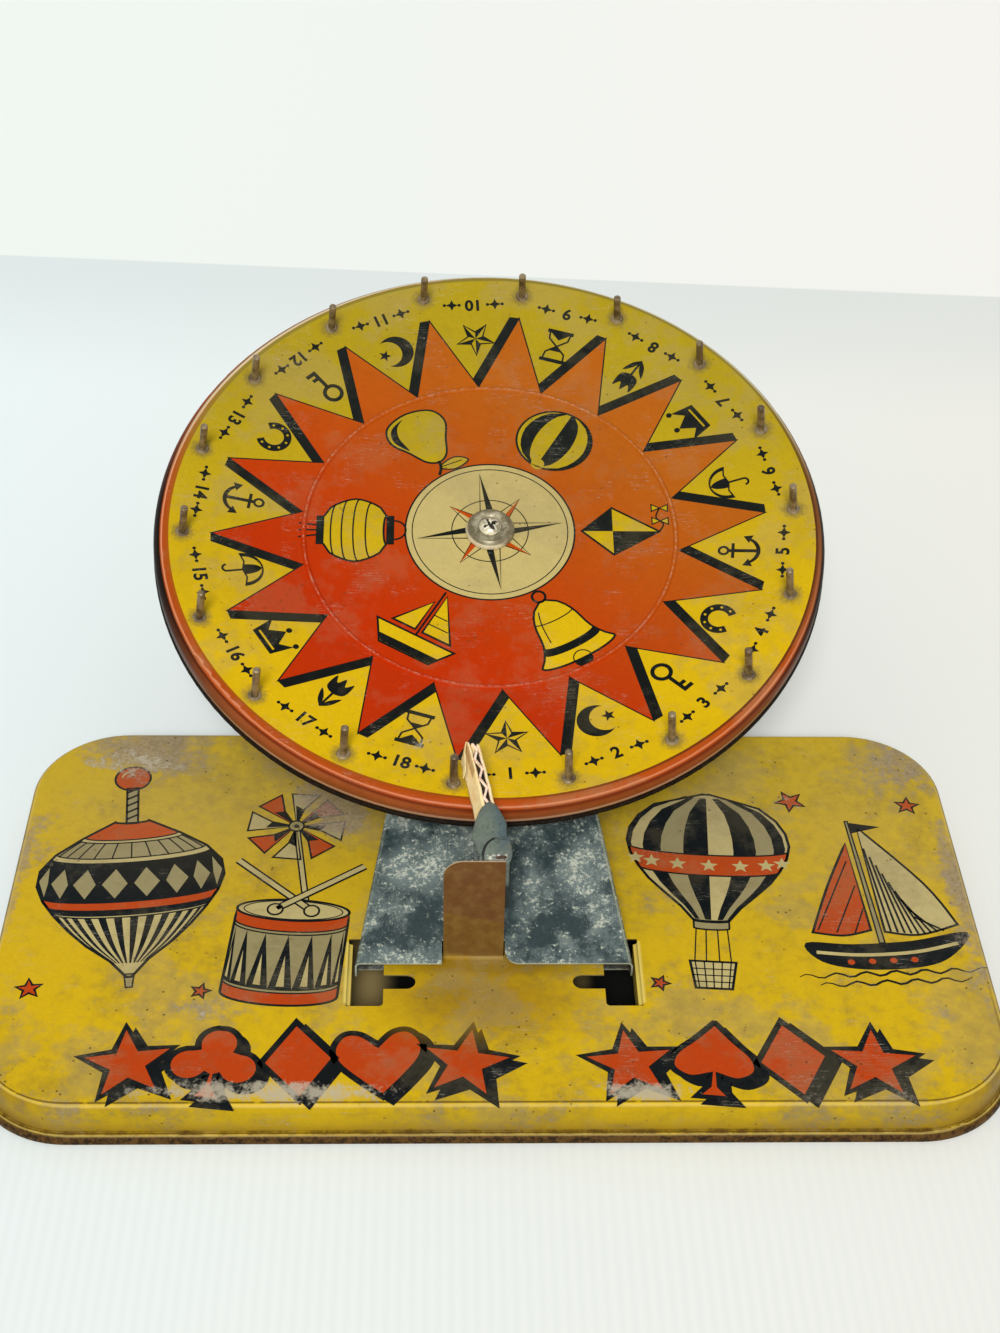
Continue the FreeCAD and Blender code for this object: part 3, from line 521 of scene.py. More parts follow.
def tray_paint():
    """Yellow print over pressed tin, with a brown tab, a rusty hem and bare tin inside, painted shade on the
    skirt and painted highlights along its bends.
    """
    paint = Paint("worn_tray_print")
    coat = TrayCoat(paint)
    x, y, z, wear = coat.x, coat.y, coat.z, coat.wear
    face_x, face_y, face_z = paint.parts(paint.normal())

    brown, above = tab_colour(paint, coat)
    colour = paint.mix(above, coat.ink["yellow"], brown)
    tab_edge = paint.step(abs(face_y), 0.5, 0.3) * paint.step(z, TRAY_TOP + 3, TRAY_TOP + 5)
    colour = paint.mix(tab_edge * (wear.fine * 0.8 + 0.5), colour, rgb(190, 166, 132))

    outward = face_x * x / TRAY_HALF_WIDTH + face_y * y / TRAY_HALF_DEPTH
    # Painted shade: the skirt's upright faces are darker than the top.
    side = paint.step(outward, 0.4, 0.8)
    colour = paint.shade(colour, 1.0 - side * 0.33)
    grimy = side * paint.step(z + (wear.middle - 0.5) * 6, 9.5, 3.5) * 0.45
    grimy = grimy + side * paint.step(abs(x), 118.0, 138.0) * 0.4
    colour = paint.mix(grimy, colour, rgb(118, 88, 34))
    in_flap = paint.step(abs(x), FLAP_FACE - 0.8, FLAP_FACE - 0.5)
    in_flap = in_flap * paint.step(abs(x), FLAP_FACE + 3, FLAP_FACE + 2.8)
    flap = in_flap * paint.step(face_x * x, 0.0, -4.0)
    tab_face = paint.step(z, TRAY_TOP - 0.1, TRAY_TOP) * paint.step(face_y, -0.05, -0.15)
    printed = paint.largest(paint.step(face_z, 0.15, 0.4), paint.step(outward, 0.4, 0.6), flap, tab_face,
                            paint.step(z, TRAY_TOP + 1.5, TRAY_TOP + 2))
    inside = paint.mix(paint.step(wear.middle, 0.4, 0.6), rgb(104, 88, 58), rgb(74, 54, 32))
    inside = paint.mix(wear.oxide, inside, rgb(56, 38, 24))
    colour = paint.mix(printed, inside, colour)

    # Painted highlight on the bends where the openings' flaps turn down.
    bend_highlight = paint.band(abs(x), FLAP_FACE, FLAP_FACE + 2.0, 0.4) * paint.band(y, *FLAP_ENDS, 0.5)
    colour = paint.mix(bend_highlight * 0.8, colour, rgb(232, 208, 108))
    hem = paint.step(z + (wear.middle - 0.5) * 4, HEM_HEIGHT + 1.0, HEM_HEIGHT - 0.8)
    rusty = paint.mix(paint.step(wear.fine + wear.middle, 0.88, 1.14), rgb(88, 62, 28), rgb(42, 28, 15))
    colour = paint.mix(hem, colour, rusty)

    uneven = (wear.middle - 0.5) * 0.2
    # Painted highlight: a pale band along the bend from the top into the skirt.
    bright = paint.band(outward + uneven, 0.36, 0.66, 0.1)
    colour = paint.mix(bright * 0.35, colour, rgb(222, 196, 110))
    worn_line = paint.band(outward + uneven * 0.4, 0.07, 0.27, 0.05) * paint.step(wear.middle, 0.3, 0.46)
    colour = paint.mix(worn_line * paint.step(y, -20, -70) * 0.75, colour, rgb(82, 60, 24))
    return coat.finish(colour, 0.42, 0.08)


def leg_lengths(paint, angle, radius):
    """How far a point lies along a direction and beside it, from its angle to it in degrees."""
    turned = angle * (math.pi / 180)
    return paint.math("COSINE", turned) * radius, paint.math("SINE", turned) * radius


def ray_pattern(paint, folded, radius):
    """The sunburst: (inside a ray, on an outline, on a shadow), from one folded sector."""
    valley = math.radians(PEG_STEP / 2)
    slope = math.atan2(RAY_VALLEY * math.sin(valley), RAY_TIP - RAY_VALLEY * math.cos(valley))
    along, across = leg_lengths(paint, folded, radius)
    outside = (along - RAY_TIP) * math.sin(slope) + abs(across) * math.cos(slope)
    soft = 0.06
    ray = paint.step(outside, soft, -soft)
    outline = paint.band(outside, -0.28, 0.2, soft)

    def shadow(angle):
        along, across = leg_lengths(paint, angle, radius)
        away = (along - RAY_TIP) * math.sin(slope) + across * math.cos(slope)
        before_tip = paint.step(along, RAY_TIP + soft, RAY_TIP - soft)
        return paint.band(away, 0.0, SHADOW_WIDTH, soft) * before_tip

    dark = paint.largest(shadow(folded), shadow(folded + PEG_STEP))
    dark = dark * paint.step(outside, -soft, soft) * paint.step(radius, RAY_VALLEY - 3, RAY_VALLEY - 2.5)
    return ray, outline, dark


def rim_colour(paint, coat, past, outward):
    """The rolled rim, past millimetres beyond the yellow: a lining, an orange bead and its skirt, with
    painted highlights, a painted reflection and painted shade by where it faces and which side it lies on.
    """
    x, y, z, wear = coat.x, coat.y, coat.z, coat.wear
    front = paint.step(y, 30.0, -95.0)
    back = paint.step(y, 5.0, 70.0)
    # Painted shade: the bead is darker towards the upper right.
    painted_light_share = paint.step(x + y * 0.8, 112.0, 30.0)
    out = outward - front * 0.1 - 0.62 + paint.step(x, 10.0, -90.0) * 0.3
    bead = paint.mix(painted_light_share, rgb(116, 70, 34), coat.ink["bead"])
    bead = paint.mix(back, bead, rgb(140, 120, 44))
    # Painted shade: the lining is darker on the right.
    lining = paint.mix(paint.step(x, -60.0, 80.0), rgb(160, 84, 16), rgb(74, 38, 14))
    lining = paint.mix(back, lining, rgb(138, 122, 44))
    bead = paint.mix(paint.step(past, 1.1, 0.5) * 0.8, bead, lining)
    # Painted highlight along the bead.
    painted_highlight = paint.band(out + (wear.middle - 0.5) * 0.1, -0.25, -0.12, 0.05) * (0.8 - front * 0.35) * painted_light_share
    bead = paint.mix(painted_highlight, bead, rgb(226, 156, 118))
    # Painted reflection: a pale band on the bead at the back.
    bead = paint.mix(paint.band(out, -0.2, 0.05, 0.1) * back * 0.8, bead, rgb(222, 214, 180))
    skirt = paint.mix(paint.step(out, 0.1, 0.3), rgb(108, 40, 12), rgb(150, 78, 36))
    skirt = paint.mix(wear.smoke * 0.5, skirt, rgb(104, 50, 22))
    foot_line = paint.band(z + (wear.fine - 0.5) * 0.3, 0.5, 1.7, 0.2)
    skirt = paint.mix(foot_line * 0.8, skirt, rgb(180, 146, 116))
    # Painted shade: at the sides the skirt is nearly black.
    skirt = paint.mix(paint.step(y, -25.0, -95.0), rgb(24, 11, 6), skirt)
    skirt = paint.mix(back, skirt, paint.mix(wear.smoke, rgb(160, 66, 20), rgb(118, 54, 24)))
    return paint.mix(paint.step(out - back * 0.15, -0.08, 0.06), bead, skirt)


def wheel_paint():
    """The wheel's print: a sunburst, a cream disc and an orange rim; bare tin below, and painted shade on
    the curled edge.
    """
    paint = Paint("worn_wheel_print")
    coat = WheelCoat(paint)
    x, y, z, wear, ink = coat.x, coat.y, coat.z, coat.wear, coat.ink
    face_x, face_y, face_z = paint.parts(paint.normal(wheel_tilt))
    radius = paint.root(x, y)
    around = paint.math("ARCTAN2", y, x) * (180 / math.pi)
    folded = paint.math("WRAP", around - FIRST_PEG, PEG_STEP / 2, -PEG_STEP / 2)

    ray, outline, dark = ray_pattern(paint, folded, radius)
    colour = paint.mix(dark, ink["yellow"], ink["black"])
    colour = paint.mix(ray, colour, ink["orange"])
    colour = paint.mix(outline, colour, ink["black"])

    disc_line = paint.band(radius, DISC_RADIUS - 0.25, DISC_RADIUS + 0.35, 0.06)
    colour = paint.mix(paint.step(radius, DISC_RADIUS + 0.05, DISC_RADIUS - 0.05), colour, ink["cream"])
    colour = paint.mix(disc_line, colour, ink["black"])

    crest = paint.band(radius, RING_RADIUS - 0.2, RING_RADIUS + 0.2, 0.2)
    colour = paint.mix(crest * paint.step(wear.fine, 0.44, 0.6) * 0.35, colour, SCUFF)

    peg_along, peg_across = leg_lengths(paint, folded, radius)
    peg_along = peg_along - PEG_CIRCLE
    peg_far = paint.root(peg_across, peg_along) + (wear.fine - 0.5) * 4
    colour = paint.mix(paint.step(peg_far, 5.0, 1.8) * 0.7, colour, rgb(112, 98, 58))

    outward = face_x * x + face_y * y
    printed_radius = paint.root(x - PRINT_SHIFT[0], y - PRINT_SHIFT[1])
    past = printed_radius + (wear.fine - 0.5) * 0.3 - YELLOW_END
    colour = paint.mix(paint.step(past, -0.12, 0.12), colour,
                       rim_colour(paint, coat, past, outward / radius))

    at_rim = paint.step(radius, RIM_START - 0.5, RIM_START + 0.5)
    printed = paint.step(face_z + at_rim * outward / RIM_RADIUS * 1.5, 0.0, 0.15)
    bare = paint.mix(paint.step(wear.middle, 0.4, 0.6), rgb(120, 112, 92), rgb(84, 78, 66))
    bare = paint.mix(wear.oxide, bare, rgb(72, 52, 34))
    colour = paint.mix(printed, bare, colour)
    # Painted shade: the curled edge under the rim is nearly black.
    curl = paint.step(z, 0.5, 0.1) * at_rim
    dull = paint.mix(paint.step(wear.fine, 0.45, 0.6), rgb(20, 14, 10), rgb(36, 26, 18))
    colour = paint.mix(curl, colour, dull)
    return coat.finish(colour, 0.38, 0.06)


def ink_paint(name, kind, ink):
    """A printed ink that has worn with the tin under it."""
    coat = kind(Paint(name))
    return coat.finish(coat.ink[ink], 0.4, 0.06)


# Paler and darker places on the stand's plate: x, y, reach across, reach along, amount.
STAND_PATCHES = [
    (-22, -64, 13, 9, 0.12),
    (-26, -84, 14, 8, -0.08),
    (-24, -95, 20, 8, 0.05),
    (10, -72, 5, 16, 0.08),
    (26, -66, 9, 10, 0.07),
    (20, -84, 12, 7, -0.1),
    (22, -98, 16, 5, 0.04),
]


def bare_tin_paint():
    """The stand: blue-black oxidised tin with granular pale blotches and fine scratches, and a painted
    highlight along its folds.
    """
    paint = Paint("oxidised_tin")
    spot = paint.local((0, 0, 0))
    x, y, z = paint.parts(spot)
    broad = paint.noise(spot, 26, 3, 0.6, 2.2)
    middle = paint.noise(spot, 7, 5, 0.7, 5.5)
    grain = paint.noise(spot, 1.0, 4, 0.85, 8.8)
    cloud = broad * 0.4 + middle * 0.6
    for place_x, place_y, reach_x, reach_y, amount in STAND_PATCHES:
        off_x = (x - place_x) / reach_x
        off_y = (y - place_y) / reach_y
        near = paint.step(off_x * off_x + off_y * off_y + (middle - 0.5) * 2.4, 1.0, 0.1)
        cloud = cloud + near * amount
    colour = paint.mix(paint.step(cloud, 0.4, 0.62), rgb(44, 58, 60), rgb(108, 122, 119))
    coarse = paint.noise(paint.stretch(spot, (0.7, 1.2, 1.0), 20), 2.2, 5, 0.75, 3.4)
    pale = paint.step(cloud * 0.7 + (coarse - 0.5) * 1.1 + (grain - 0.5) * 1.1, 0.38, 0.56)
    colour = paint.mix(pale * 0.6, colour, rgb(146, 154, 142))
    bright = paint.step(cloud * 0.4 + coarse * 0.4 + grain * 0.5, 0.68, 0.75)
    colour = paint.mix(bright * 0.85, colour, rgb(200, 204, 186))
    dark = paint.step(cloud * 0.5 + grain * 0.6, 0.5, 0.44)
    colour = paint.mix(dark * 0.6, colour, rgb(34, 46, 46))
    warm = paint.step(middle * 0.5 + broad * 0.5, 0.54, 0.64)
    colour = paint.mix(warm * 0.3, colour, rgb(120, 112, 88))
    streak = paint.noise(paint.stretch(spot, (1.3, 0.05, 1.0), 12), 1.0, 2, 0.5, 1.1)
    scratch = paint.band(streak, 0.495, 0.505, 0.003) * paint.step(broad, 0.48, 0.56)
    colour = paint.mix(scratch * 0.55, colour, rgb(168, 176, 168))
    face_x, face_y = paint.parts(paint.normal())[:2]
    # Painted highlight along the folded edges, weaker on the left.
    fold = paint.band(abs(face_x), 0.3, 0.7, 0.1) * paint.step(z, TRAY_TOP + 2, TRAY_TOP + 5)
    fold = fold * (paint.step(x, -10, 10) * 0.35 + 0.15) * paint.step(grain, 0.3, 0.5)
    colour = paint.mix(fold, colour, rgb(176, 178, 140))
    colour = paint.mix(paint.step(face_y, -0.5, -0.8) * 0.7, colour, rgb(190, 194, 168))
    rust = paint.step(z + (middle - 0.5) * 20, TRAY_TOP + 3, TRAY_TOP - 3)
    colour = paint.mix(rust * 0.7, colour, rgb(74, 54, 34))
    return paint.finish(
        colour=colour,
        metallic=0.12,
        specular=0.3,
        roughness=0.4 + pale * 0.2 + grain * 0.1,
        normal=paint.bump(grain * 0.7 + middle * 0.3 - scratch * 0.5, 0.3, 0.08),
    )


def metal_paint(name, bright, dull, stain, metallic, roughness):
    """A small steel or brass piece: brushed, dulled and stained."""
    paint = Paint(name)
    spot = paint.local((0, 0, 0))
    middle = paint.noise(spot, 3.6, 4, 0.6, 1.0)
    fine = paint.noise(spot, 0.36, 3, 0.7, 2.0)
    colour = paint.mix(paint.step(middle, 0.38, 0.62), bright, dull)
    colour = paint.mix(paint.step(middle * 0.5 + fine * 0.5, 0.52, 0.62) * 0.7, colour, stain)
    return paint.finish(
        colour=colour,
        metallic=metallic,
        roughness=roughness - 0.08 + fine * 0.2,
        normal=paint.bump(fine, 0.25, 0.04),
    )


def hub_paint(name, is_screw):
    """The nickel of the screw or its cup washer, by the distance from the wheel's axis, with a painted
    highlight on the washer's lower-left edge and painted shade in the screw's cross.
    """
    paint = Paint(name)
    x, y = paint.parts(paint.local(hub, wheel_tilt))[:2]
    spot = paint.local((0, 0, 0))
    middle = paint.noise(spot, 2.2, 4, 0.65, 1.0)
    fine = paint.noise(spot, 0.4, 3, 0.7, 2.0)
    radius = paint.root(x, y)
    if is_screw:
        colour = paint.mix(paint.step(middle, 0.4, 0.6), rgb(214, 204, 176), rgb(150, 140, 112))
        across = x * math.cos(SCREW_TURN) + y * math.sin(SCREW_TURN)
        along = y * math.cos(SCREW_TURN) - x * math.sin(SCREW_TURN)
        arm = paint.smallest(abs(across), abs(along)) + (fine - 0.5) * 0.5
        worn = paint.band(arm, 0.5, 1.0, 0.15) * paint.step(radius, 3.1, 2.7)
        colour = paint.mix(worn * 0.7, colour, rgb(244, 238, 218))
        # Painted shade in the cross recess.
        recess_shade = paint.step(arm, 0.6, 0.4) * paint.step(radius, 2.6, 2.2)
        colour = paint.mix(recess_shade, colour, rgb(44, 36, 24))
    else:
        colour = paint.mix(paint.step(middle, 0.38, 0.62), rgb(168, 160, 134), rgb(122, 112, 86))
        ring = paint.band(radius + (middle - 0.5) * 1.2, 5.8, 7.3, 0.5)
        colour = paint.mix(ring * 0.65, colour, rgb(92, 80, 56))
        # Painted highlight on the washer's rolled edge at its lower left.
        lip_highlight = paint.step(radius, 7.45, 7.65) * paint.step(x + y, 0.0, -5.0)
        colour = paint.mix(lip_highlight * 0.9, colour, rgb(226, 214, 182))
        seat = paint.step(radius, 4.4, 3.8)
        colour = paint.mix(seat * 0.6, colour, rgb(84, 74, 54))
    colour = paint.mix(paint.step(fine * 0.6 + middle * 0.4, 0.56, 0.64) * 0.5, colour, rgb(72, 60, 42))
    return paint.finish(colour=colour, metallic=0.45, roughness=0.32 + fine * 0.2,
                        normal=paint.bump(fine, 0.2, 0.04))


def matte_paint(name, colour, other, grain, roughness):
    """A plain fibrous piece such as a washer, with faint flecks."""
    paint = Paint(name)
    spot = paint.local((0, 0, 0))
    middle = paint.noise(spot, grain * 3, 4, 0.6, 3.0)
    fine = paint.noise(spot, grain, 3, 0.7, 6.0)
    mixed = paint.mix(paint.step(middle * 0.5 + fine * 0.5, 0.42, 0.6), colour, other)
    return paint.finish(colour=mixed, roughness=roughness + fine * 0.1, normal=paint.bump(fine, 0.4, 0.06))


def floor_paint(edge_left, edge_right):
    """A pale board with very faint ribs; past its back edge it is a warmer white; under the tray, painted
    shade and light.
    """
    paint = Paint("pale_floor")
    x, y = paint.parts(paint.local((0, 0, 0)))[:2]
    slope = (edge_right[1] - edge_left[1]) / (edge_right[0] - edge_left[0])
    past = y - x * slope - (edge_left[1] - edge_left[0] * slope)
    rib = paint.math("SINE", x * (2 * math.pi / 3.4)) * 0.5 + 0.5
    side = paint.step(x, -320, 320)
    far_board = paint.mix(side, rgb(240, 251, 251), rgb(241, 240, 231))
    board = paint.mix(paint.step(y, -420, -120), rgb(252, 251, 239), far_board)
    board = paint.mix(rib * 0.25 * paint.step(y, 100, -250), board, rgb(228, 234, 231))
    board = paint.mix(paint.step(past, -130, 0) * 0.5, board, rgb(214, 222, 221))
    wall = paint.mix(side, rgb(244, 251, 245), rgb(248, 247, 242))
    colour = paint.mix(paint.step(past, -1.0, 1.0), board, wall)
    # Painted shade under the tray, with painted light left of one line and in one band.
    below = round_box_distance(paint, x, y - tray_middle.y,
                               TRAY_HALF_WIDTH - 4, TRAY_HALF_DEPTH - 4, TRAY_CORNER)
    painted_light_share = paint.largest(paint.step(x, *LIT_LEFT), paint.band(x, *LIT_BAND, 2.5) * 0.5)
    painted_shade_and_light_under_tray = paint.mix(painted_light_share, rgb(10, 10, 8), rgb(140, 122, 78))
    colour = paint.mix(paint.step(below, 0, -3), colour, painted_shade_and_light_under_tray)
    return paint.finish(colour=colour, roughness=0.7, specular=0.2)


def arc(x, y, radius, start, end, steps=16, squash=1.0):
    """Points on an arc, from one angle to another in degrees; squash flattens it along y."""
    points = []
    for index in range(steps + 1):
        angle = math.radians(start + (end - start) * index / steps)
        points.append((x + radius * math.cos(angle), y + radius * math.sin(angle) * squash))
    return points


def circle(x, y, radius, steps=32, squash=1.0):
    return arc(x, y, radius, 0, 360, steps, squash)[:-1]


def star(corners, outer, inner, x=0.0, y=0.0):
    """A star's outline, its first tip straight up."""
    points = []
    for index in range(corners * 2):
        radius = inner if index % 2 else outer
        angle = math.radians(90 + 180 * index / corners)
        points.append((x + radius * math.cos(angle), y + radius * math.sin(angle)))
    return points


def upright(half, low, high):
    """A rectangle about the middle line."""
    return [(-half, low), (half, low), (half, high), (-half, high)]


def smooth(points, closed=True, steps=5):
    """A soft curve through given points."""
    count = len(points)
    spans = count if closed else count - 1
    curve = []
    for index in range(spans):
        if closed:
            a, b, c, d = [points[(index + shift) % count] for shift in (-1, 0, 1, 2)]
        else:
            a, b, c, d = [points[min(max(index + shift, 0), count - 1)] for shift in (-1, 0, 1, 2)]
        for step in range(steps):
            u = step / steps
            weights = (-u ** 3 + 2 * u * u - u, 3 * u ** 3 - 5 * u * u + 2,
                       -3 * u ** 3 + 4 * u * u + u, u ** 3 - u * u)
            curve.append(tuple(0.5 * sum(w * p[axis] for w, p in zip(weights, (a, b, c, d)))
                               for axis in (0, 1)))
    if not closed:
        curve.append(points[-1])
    return curve


def mirrored(half):
    """A whole outline from its right half, given from the bottom up."""
    return half + [(-x, y) for x, y in reversed(half)]


def digits(text, tall, bold):
    """A plain number as flat faces: its points and the faces' indices."""
    curve = bpy.data.curves.new("digits", "FONT")
    curve.body = text
    curve.size = tall
    curve.offset = bold
    curve.align_x = "CENTER"
    curve.align_y = "CENTER"
    curve.resolution_u = 4
    thing = bpy.data.objects.new("digits", curve)
    mesh = bpy.data.meshes.new_from_object(thing)
    points = [(vertex.co.x, vertex.co.y) for vertex in mesh.vertices]
    faces = [list(face.vertices) for face in mesh.polygons]
    bpy.data.objects.remove(thing)
    bpy.data.curves.remove(curve)
    bpy.data.meshes.remove(mesh)
    return points, faces


def add_object(name, data):
    thing = bpy.data.objects.new(name, data)
    bpy.context.scene.collection.objects.link(thing)
    return thing


def signed_area(points):
    total = 0.0
    for (ax, ay), (bx, by) in zip(points, points[1:] + points[:1]):
        total += ax * by - bx * ay
    return total / 2


class Print:
    """Inks printed on one carrier: closed flat plates that follow its surface, one mesh to each ink."""

    def __init__(self, place):
        self.place = place
        self.meshes = {}

    def plate(self, ink, layer, points, faces):
        """One closed plate over flat faces."""
        if ink not in self.meshes:
            self.meshes[ink] = bmesh.new()
        mesh = self.meshes[ink]
        high = INK_LIFT + LAYER_LIFT * layer
        top = [mesh.verts.new(self.place(x, y, high) * MM) for x, y in points]
        bottom = [mesh.verts.new(self.place(x, y, -INK_SINK) * MM) for x, y in points]
        sides = set()
        for face in faces:
            face = list(face)
            if signed_area([points[index] for index in face]) < 0:
                face.reverse()
            mesh.faces.new([top[index] for index in face])
            mesh.faces.new([bottom[index] for index in reversed(face)])
            sides.update(zip(face, face[1:] + face[:1]))
        for start, end in sides:
            if (end, start) not in sides:
                mesh.faces.new((bottom[start], bottom[end], top[end], top[start]))

    def fill(self, ink, layer, outline, holes):
        loops = [outline, *holes]
        points = [point for loop in loops for point in loop]
        rings = [[Vector((*point, 0)) for point in loop] for loop in loops]
        self.plate(ink, layer, points, tessellate_polygon(rings))

    def line(self, ink, layer, points, width, closed, taper):
        """A line of some width; taper thins its two ends."""
        points = [Vector(point) for index, point in enumerate(points)
                  if index == 0 or (Vector(point) - Vector(points[index - 1])).length > 1e-4]
        count = len(points)
        left, right = [], []
        for index, point in enumerate(points):
            before = points[index - 1] if closed or index else None
            after = points[(index + 1) % count] if closed or index < count - 1 else None
            ways = [way.normalized() for way in (
                point - before if before is not None else None,
                after - point if after is not None else None) if way is not None]
            normals = [Vector((-way.y, way.x)) for way in ways]
            across = normals[0] + normals[-1]
            across = across / max(across.length_squared / 2, 0.45)
            share = abs(2 * index / (count - 1) - 1)
            half = width / 2 * (1 - taper * share ** 2)
            left.append(tuple(point + across * half))
            right.append(tuple(point - across * half))
        faces = []
        for index in range(count if closed else count - 1):
            after = (index + 1) % count
            faces.append((index, index + count, after + count, after))
        self.plate(ink, layer, left + right, faces)

    def finish(self, carrier, body, coat):
        for ink, plates in self.meshes.items():
            name = carrier + "_print_" + ink
            mesh = bpy.data.meshes.new(name)
            plates.to_mesh(mesh)
            plates.free()
            mesh.materials.append(ink_paint(carrier + "_" + ink, coat, ink))
            thing = add_object(name, mesh)
            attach(thing, body)
            "printed_" + carrier


class Pen:
    """Draws one motif on a print, in the motif's own frame: x to the right and y up."""

    def __init__(self, sheet, x, y, angle=0.0, scale=1.0):
        self.sheet = sheet
        self.middle = Vector((x, y))
        self.angle = angle
        self.turn = Matrix.Rotation(math.radians(angle), 2)
        self.scale = scale

    def turned(self, more):
        """A pen at the same place, turned further."""
        return Pen(self.sheet, *self.middle, self.angle + more, self.scale)

    def moved(self, points):
        return [tuple(self.middle + self.turn @ (Vector(point) * self.scale)) for point in points]

    def fill(self, ink, outline, layer=1, holes=()):
        self.sheet.fill(ink, layer, self.moved(outline), [self.moved(hole) for hole in holes])

    def line(self, points, width=0.6, ink="black", layer=3, closed=False, taper=0.0):
        self.sheet.line(ink, layer, self.moved(points), width, closed, taper)

    def shape(self, ink, outline, layer=1, width=0.7):
        """A filled shape with a black outline."""
        self.fill(ink, outline, layer)
        self.line(outline, width, closed=True, layer=layer + 2)

    def number(self, text, tall, bold):
        points, faces = digits(text, tall, bold)
        self.sheet.plate("black", 1, self.moved(points), faces)


class Turned:
    """A round body seen from the side: its half-width by height, and how far its hoops sag in front."""

    def __init__(self, profile, sag, soft=True):
        self.profile = smooth(profile, closed=False) if soft else profile
        self.sag = sag

    def half_width(self, high):
        for (low_y, low_half), (high_y, high_half) in zip(self.profile, self.profile[1:]):
            if high <= high_y:
                share = (high - low_y) / max(high_y - low_y, 1e-6)
                return low_half + (high_half - low_half) * max(share, 0)
        return self.profile[-1][1]

    def at(self, high, angle):
        """The point at a height and an angle round the body: -90 at its left edge, 90 at its right."""
        half = self.half_width(high)
        turned = math.radians(angle)
        return half * math.sin(turned), high - self.sag * half * math.cos(turned)

    def hoop(self, high, left=-90.0, right=90.0):
        steps = max(2, round((right - left) / 10))
        return [self.at(high, left + (right - left) * index / steps) for index in range(steps + 1)]

    def rib(self, angle, low, high, steps=10):
        return [self.at(low + (high - low) * index / steps, angle) for index in range(steps + 1)]

    def patch(self, low, high, left=-90.0, right=90.0):
        """The outline of the part between two heights and two angles."""
        return (self.hoop(low, left, right) + self.rib(right, low, high)[1:]
                + self.hoop(high, left, right)[::-1][1:] + self.rib(left, low, high)[::-1][1:-1])


def humming_top(pen):
    body = Turned([(-41, 0.8), (-36, 4), (-26, 14), (-13, 23), (-3, 27), (6, 25.5),
                   (14, 18), (20, 9), (23, 5)], 0.16)
    pen.shape("cream", body.patch(-41, 23), 0, 0.9)
    for angle in range(-84, 84, 12):
        pen.fill("black", body.patch(-35, -14, angle, angle + 6))
    pen.fill("black", body.patch(-13, 9))
    pen.fill("orange", body.patch(-10.5, -7.5), 2)
    for angle in range(-80, 80, 20):
        diamond = [body.at(-5.5, angle + 10), body.at(0.5, angle + 18), body.at(6.5, angle + 10),
                   body.at(0.5, angle + 2)]
        pen.fill("grey", diamond, 2)
    pen.fill("grey", body.patch(10.5, 16))
    for angle in range(-75, 90, 15):
        pen.line(body.rib(angle, 10.5, 16), 0.45)
    pen.fill("orange", body.patch(17, 23))
    for high in (-14, -13, 10.5, 16, 17):
        pen.line(body.hoop(high), 0.5)
    pen.shape("grey", upright(1.7, 22, 38))
    for high in range(24, 37, 3):
        pen.line([(-1.7, high), (1.7, high + 1.8)], 0.8)
    pen.shape("orange", circle(0, 42.5, 5.4), 2)
    pen.line(arc(0, 42.5, 3.4, 100, 170, 8), 0.8, "cream", 4, taper=0.6)
    pen.shape("grey", [(-0.9, -45), (0.9, -45), (1.4, -40), (-1.4, -40)], 1, 0.5)


def drum(pen):
    shell = Turned([(-20, 20), (20, 20)], 0.26, soft=False)
    pen.shape("grey", shell.patch(-20, 20), 0, 0.8)
    for angle in range(-84, 84, 24):
        pen.fill("black", [shell.at(-13, angle), shell.at(-13, angle + 12), shell.at(-13, angle + 24),
                           shell.at(13, angle + 12)])
        pen.fill("cream", [shell.at(-11.5, angle + 8), shell.at(-11.5, angle + 16),
                           shell.at(3, angle + 12)], 2)
    pen.fill("orange", shell.patch(-20, -14.5))
    pen.fill("orange", shell.patch(14.5, 20))
    for high in (-14.5, -13, 13, 14.5):
        pen.line(shell.hoop(high), 0.5)
    pen.shape("cream", circle(0, 20, 20, 36, 0.26), 2, 0.8)
    pen.line(circle(0, 20, 17.6, 36, 0.26), 0.35, closed=True, layer=4)
    for side in (-1, 1):
        stick = [(23 * side, 44), (-6 * side, 20.5)]
        pen.line(stick, 2.9, layer=5 + side)
        pen.line(stick, 1.7, "cream", 6 + side)
        pen.shape("cream", circle(-6.5 * side, 20, 2.7, 20), 7, 0.6)


def pinwheel(pen):
    """A paper windmill on its stick."""
    pen.shape("cream", upright(0.9, -34, 0), 0, 0.5)
    for index in range(8):
        vane = pen.turned(45 * index)
        vane.shape(("orange", "cream")[index % 2], [(0, 0), (7.5, 3.1), (15.5, 3.4), (11, 11)], 1, 0.6)
        vane.fill("black", [(0, 0), (7.5, 3.1), (7.4, 6.4)], 2)
    pen.shape("cream", circle(0, 0, 2.4, 18), 3, 0.6)
    pen.fill("black", circle(0, 0, 0.8, 10), 4)


